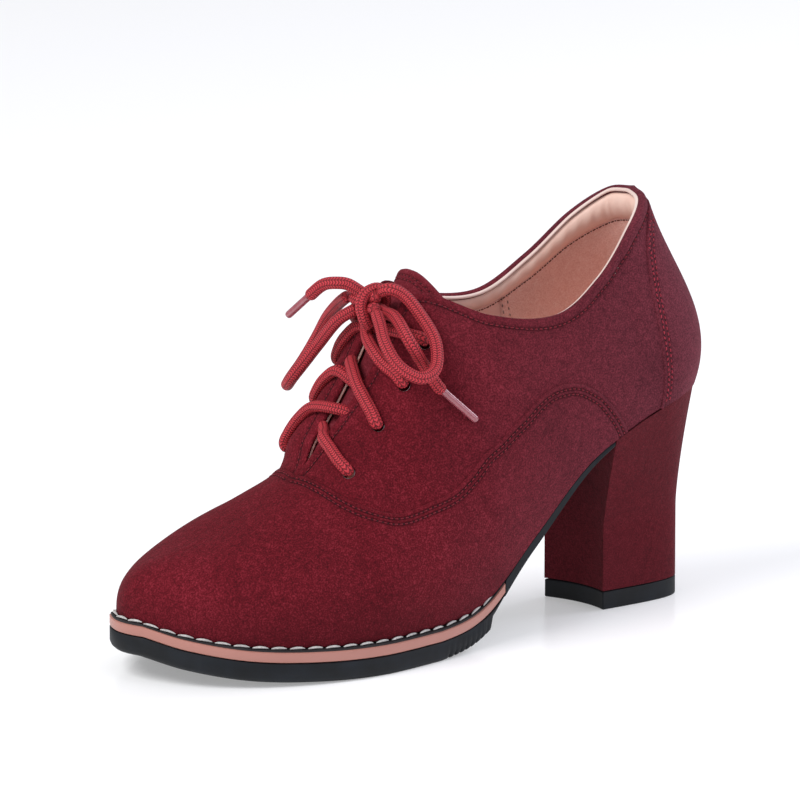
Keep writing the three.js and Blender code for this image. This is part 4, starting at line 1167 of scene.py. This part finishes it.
runner_pu, tree, shader = material("moulded_polyurethane_runner", Roughness=0.42)
place = add(tree, "TexCoord").outputs["Object"]
drift = noise(tree, place, 30, 3.0)
tree.links.new(coloured(tree, drift, (0, "#ab7266"), (1, "#b87f73")), shader.inputs["Base Color"])
mould = noise(tree, place, 0.7)
raised(tree, shader, mould, 0.05, 0.3)


# Moulded rubber: near black with a blue cast, matt, with a fine mould texture.
def rubber(name, dark, light):
    made, tree, shader = material(name, Roughness=0.6)
    shader.inputs["Specular IOR Level"].default_value = 0.3
    place = add(tree, "TexCoord").outputs["Object"]
    dust = noise(tree, place, 9, 6.0)
    tree.links.new(coloured(tree, dust, (0.35, dark), (0.7, light)), shader.inputs["Base Color"])
    fine = noise(tree, place, 0.5)
    raised(tree, shader, fine, 0.08, 0.4)
    return made


black_rubber = rubber("moulded_black_rubber", "#090c10", "#13181f")
welt_black = rubber("black_welt_strip", "#1c1a1c", "#2e2a2c")
ribs = np.linspace(WELT_END, TOE, 150)
margin = sole_margin(ribs)
SHELF = 0.7
runner = slab("runner", ribs, [(margin - 0.5, -GAP - SHELF), (margin, -GAP - SHELF - 0.35),
                               (margin, -GAP - WELT + 0.35), (margin - 0.4, -GAP - WELT)], runner_pu, angle=50)
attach(runner, "root")
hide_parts("welt")
shelf = slab("welt_strip", ribs, [(margin - 0.9, -GAP), (margin - 0.45, -GAP - 0.2),
                                  (margin - 0.45, -GAP - SHELF)], welt_black, angle=50)
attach(shelf, "root")
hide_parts("welt")
white_thread, tree, shader = material("waxed_white_thread", Roughness=0.38)
place = add(tree, "TexCoord").outputs["Object"]
strand = noise(tree, place, 1.6, 3.0)
tree.links.new(coloured(tree, strand, (0, "#8c8785"), (1, "#e6e2df")), shader.inputs["Base Color"])
storm = template(5.9, 0.9, 0.32)
own = np.concatenate([np.linspace(WELT_END + 0.25, TOE, 260), -np.linspace(TOE, WELT_END + 0.25, 260)[1:]])
line = sole_point(own, sole_margin(np.abs(own)) * 0.5 + 0.1, -GAP + 0.35)
ups = np.repeat([[0, 0, 1.0]], len(own), 0)
sewn("welt_storm_stitches", [(line, ups)], storm, 6.5, white_thread, skew=0.12)

# The outsole: one moulded rubber unit, thin and curved through the waist and thick under the
# forefoot, with cross ribs at the back of the tread.
WAIST = np.array([[BREAST, 0.36], [4.4, 0.66], [5.3, 0.82], [WELT_END, 0.96], [PAD_END, 1.24]])
TREAD_RIBS, TREAD_END, TREAD_DEPTH = 8, 6.9, 1.0
waist = np.linspace(BREAST, WELT_END - 0.016, 50)
heel_part = slab("outsole_waist", waist, [(sole_margin(waist) - 0.4, -GAP + 0 * waist),
                                          (sole_margin(waist), -GAP - 0.4 + 0 * waist),
                                          (sole_margin(waist), -OUTSOLE * between(WAIST, 1, waist) + 0.7),
                                          (sole_margin(waist) - 0.8, -OUTSOLE * between(WAIST, 1, waist))],
                 black_rubber, angle=50)
tread = PAD_END + (TREAD_END - PAD_END) * np.arange(TREAD_RIBS * 6) / (TREAD_RIBS * 6)
ribs = np.concatenate([[WELT_END - 0.016, WELT_END + 0.05, CORNER, 5.85, 5.93], tread,
                       np.linspace(TREAD_END, TOE, 110)])
phase = np.mod((ribs - PAD_END) / (TREAD_END - PAD_END) * TREAD_RIBS, 1)
notch = np.where((ribs >= PAD_END) & (ribs < TREAD_END), TREAD_DEPTH * (phase > 0.55) * (phase < 0.95), 0)
low = np.where(ribs < PAD_END, -OUTSOLE * between(WAIST, 1, ribs), notch - STACK)
margin = sole_margin(ribs)
top = -WELT - 2 * GAP + 0 * ribs
forefoot = slab("outsole_forefoot", ribs, [(margin - 0.3, top), (margin, top - 0.3), (margin, low + 1.7),
                                           (margin - 0.35, low + 0.8), (margin - 1.2, low)], black_rubber, angle=50)
for part in (heel_part, forefoot):
    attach(part, "root")
    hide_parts("outsole")

# The heel: a plastic block covered in the same suede, drawn round it and turned in at the breast,
# with a hollow breast, on a black rubber top piece.
HEEL_WIDTH, HEEL_LENGTH, HEEL_OUT, TOP_PIECE = 27, 40, 0.5, 6.6
BREAST_TURN, BREAST_HOLLOW = math.tan(math.radians(13)), 2.5
RIB_GAP = GAP * TOE / LENGTH


def heel_foot(t, z):
    angle = np.abs(t) * math.pi / 2
    y = np.sign(t) * HEEL_WIDTH * np.sin(angle) ** 0.5 / 2
    ahead = 1 - np.cos(angle) ** 0.5
    return np.stack([HEEL_BACK + (HEEL_LENGTH - BREAST_TURN * y) * ahead, y, z + 0 * t], -1)


def with_breast(ring, hollow):
    """A heel ring closed over its breast, which is hollowed by a depth in millimetres."""
    w = np.linspace(0, 1, 17)[1:-1, None]
    front = ring[-1] * (1 - w) + ring[0] * w
    front[:, 0] -= hollow * (1 - (1 - 2 * w[:, 0]) ** 2)
    return np.concatenate([ring, front])


def heel_section(drop):
    """The heel's outline at a share of its height: round the back, then over the hollow breast."""
    t = np.linspace(-1, 1, 81)
    ease = 1 - max(1 - drop / 0.62, 0) ** 1.3
    rib = (BREAST - 2 * RIB_GAP) * np.sin(np.abs(t) * math.pi / 2) * np.sign(t)
    top = sole_point(rib, HEEL_OUT + 0 * rib, -GAP)
    foot_ring = heel_foot(t, TOP_PIECE + GAP)
    z = top[:, 2] * (1 - drop) + foot_ring[:, 2] * drop
    ring = top * (1 - ease) + foot_ring * ease
    ring[:, 2] = z
    return with_breast(ring, BREAST_HOLLOW * smooth(drop, 0, 0.3))


def stacked(name, rings, finish, width):
    """A closed solid from rings of equal length, its two ends filled, its sharp edges rounded."""
    grid = np.stack(rings)
    made = new_piece(name, grid, capped(*grid.shape[:2]), finish)
    bevel = made.modifiers.new("rounding", "BEVEL")
    bevel.width, bevel.segments = width / 1000, 3
    bevel.limit_method, bevel.angle_limit = "ANGLE", math.radians(38)
    bpy.context.view_layer.objects.active = made
    bpy.ops.object.modifier_apply(modifier="rounding")
    dress(made, 50)
    return made


heel_suede = suede("heel_cover_suede", "#3d1017", "#591820", "#722630")
rings = [heel_section(drop) for drop in np.linspace(0, 1, 34)]
heel = stacked("heel_cover", rings, heel_suede, 0.9)
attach(heel, "root")
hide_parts("heel_block")
lift_rings = [with_breast(heel_foot(np.linspace(-1, 1, 81), z), BREAST_HOLLOW)
              for z in (TOP_PIECE, TOP_PIECE - 1.2, 3.5, 1.2, 0)]
lift = stacked("top_piece", lift_rings, black_rubber, 0.5)
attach(lift, "root")
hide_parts("heel_top_piece")
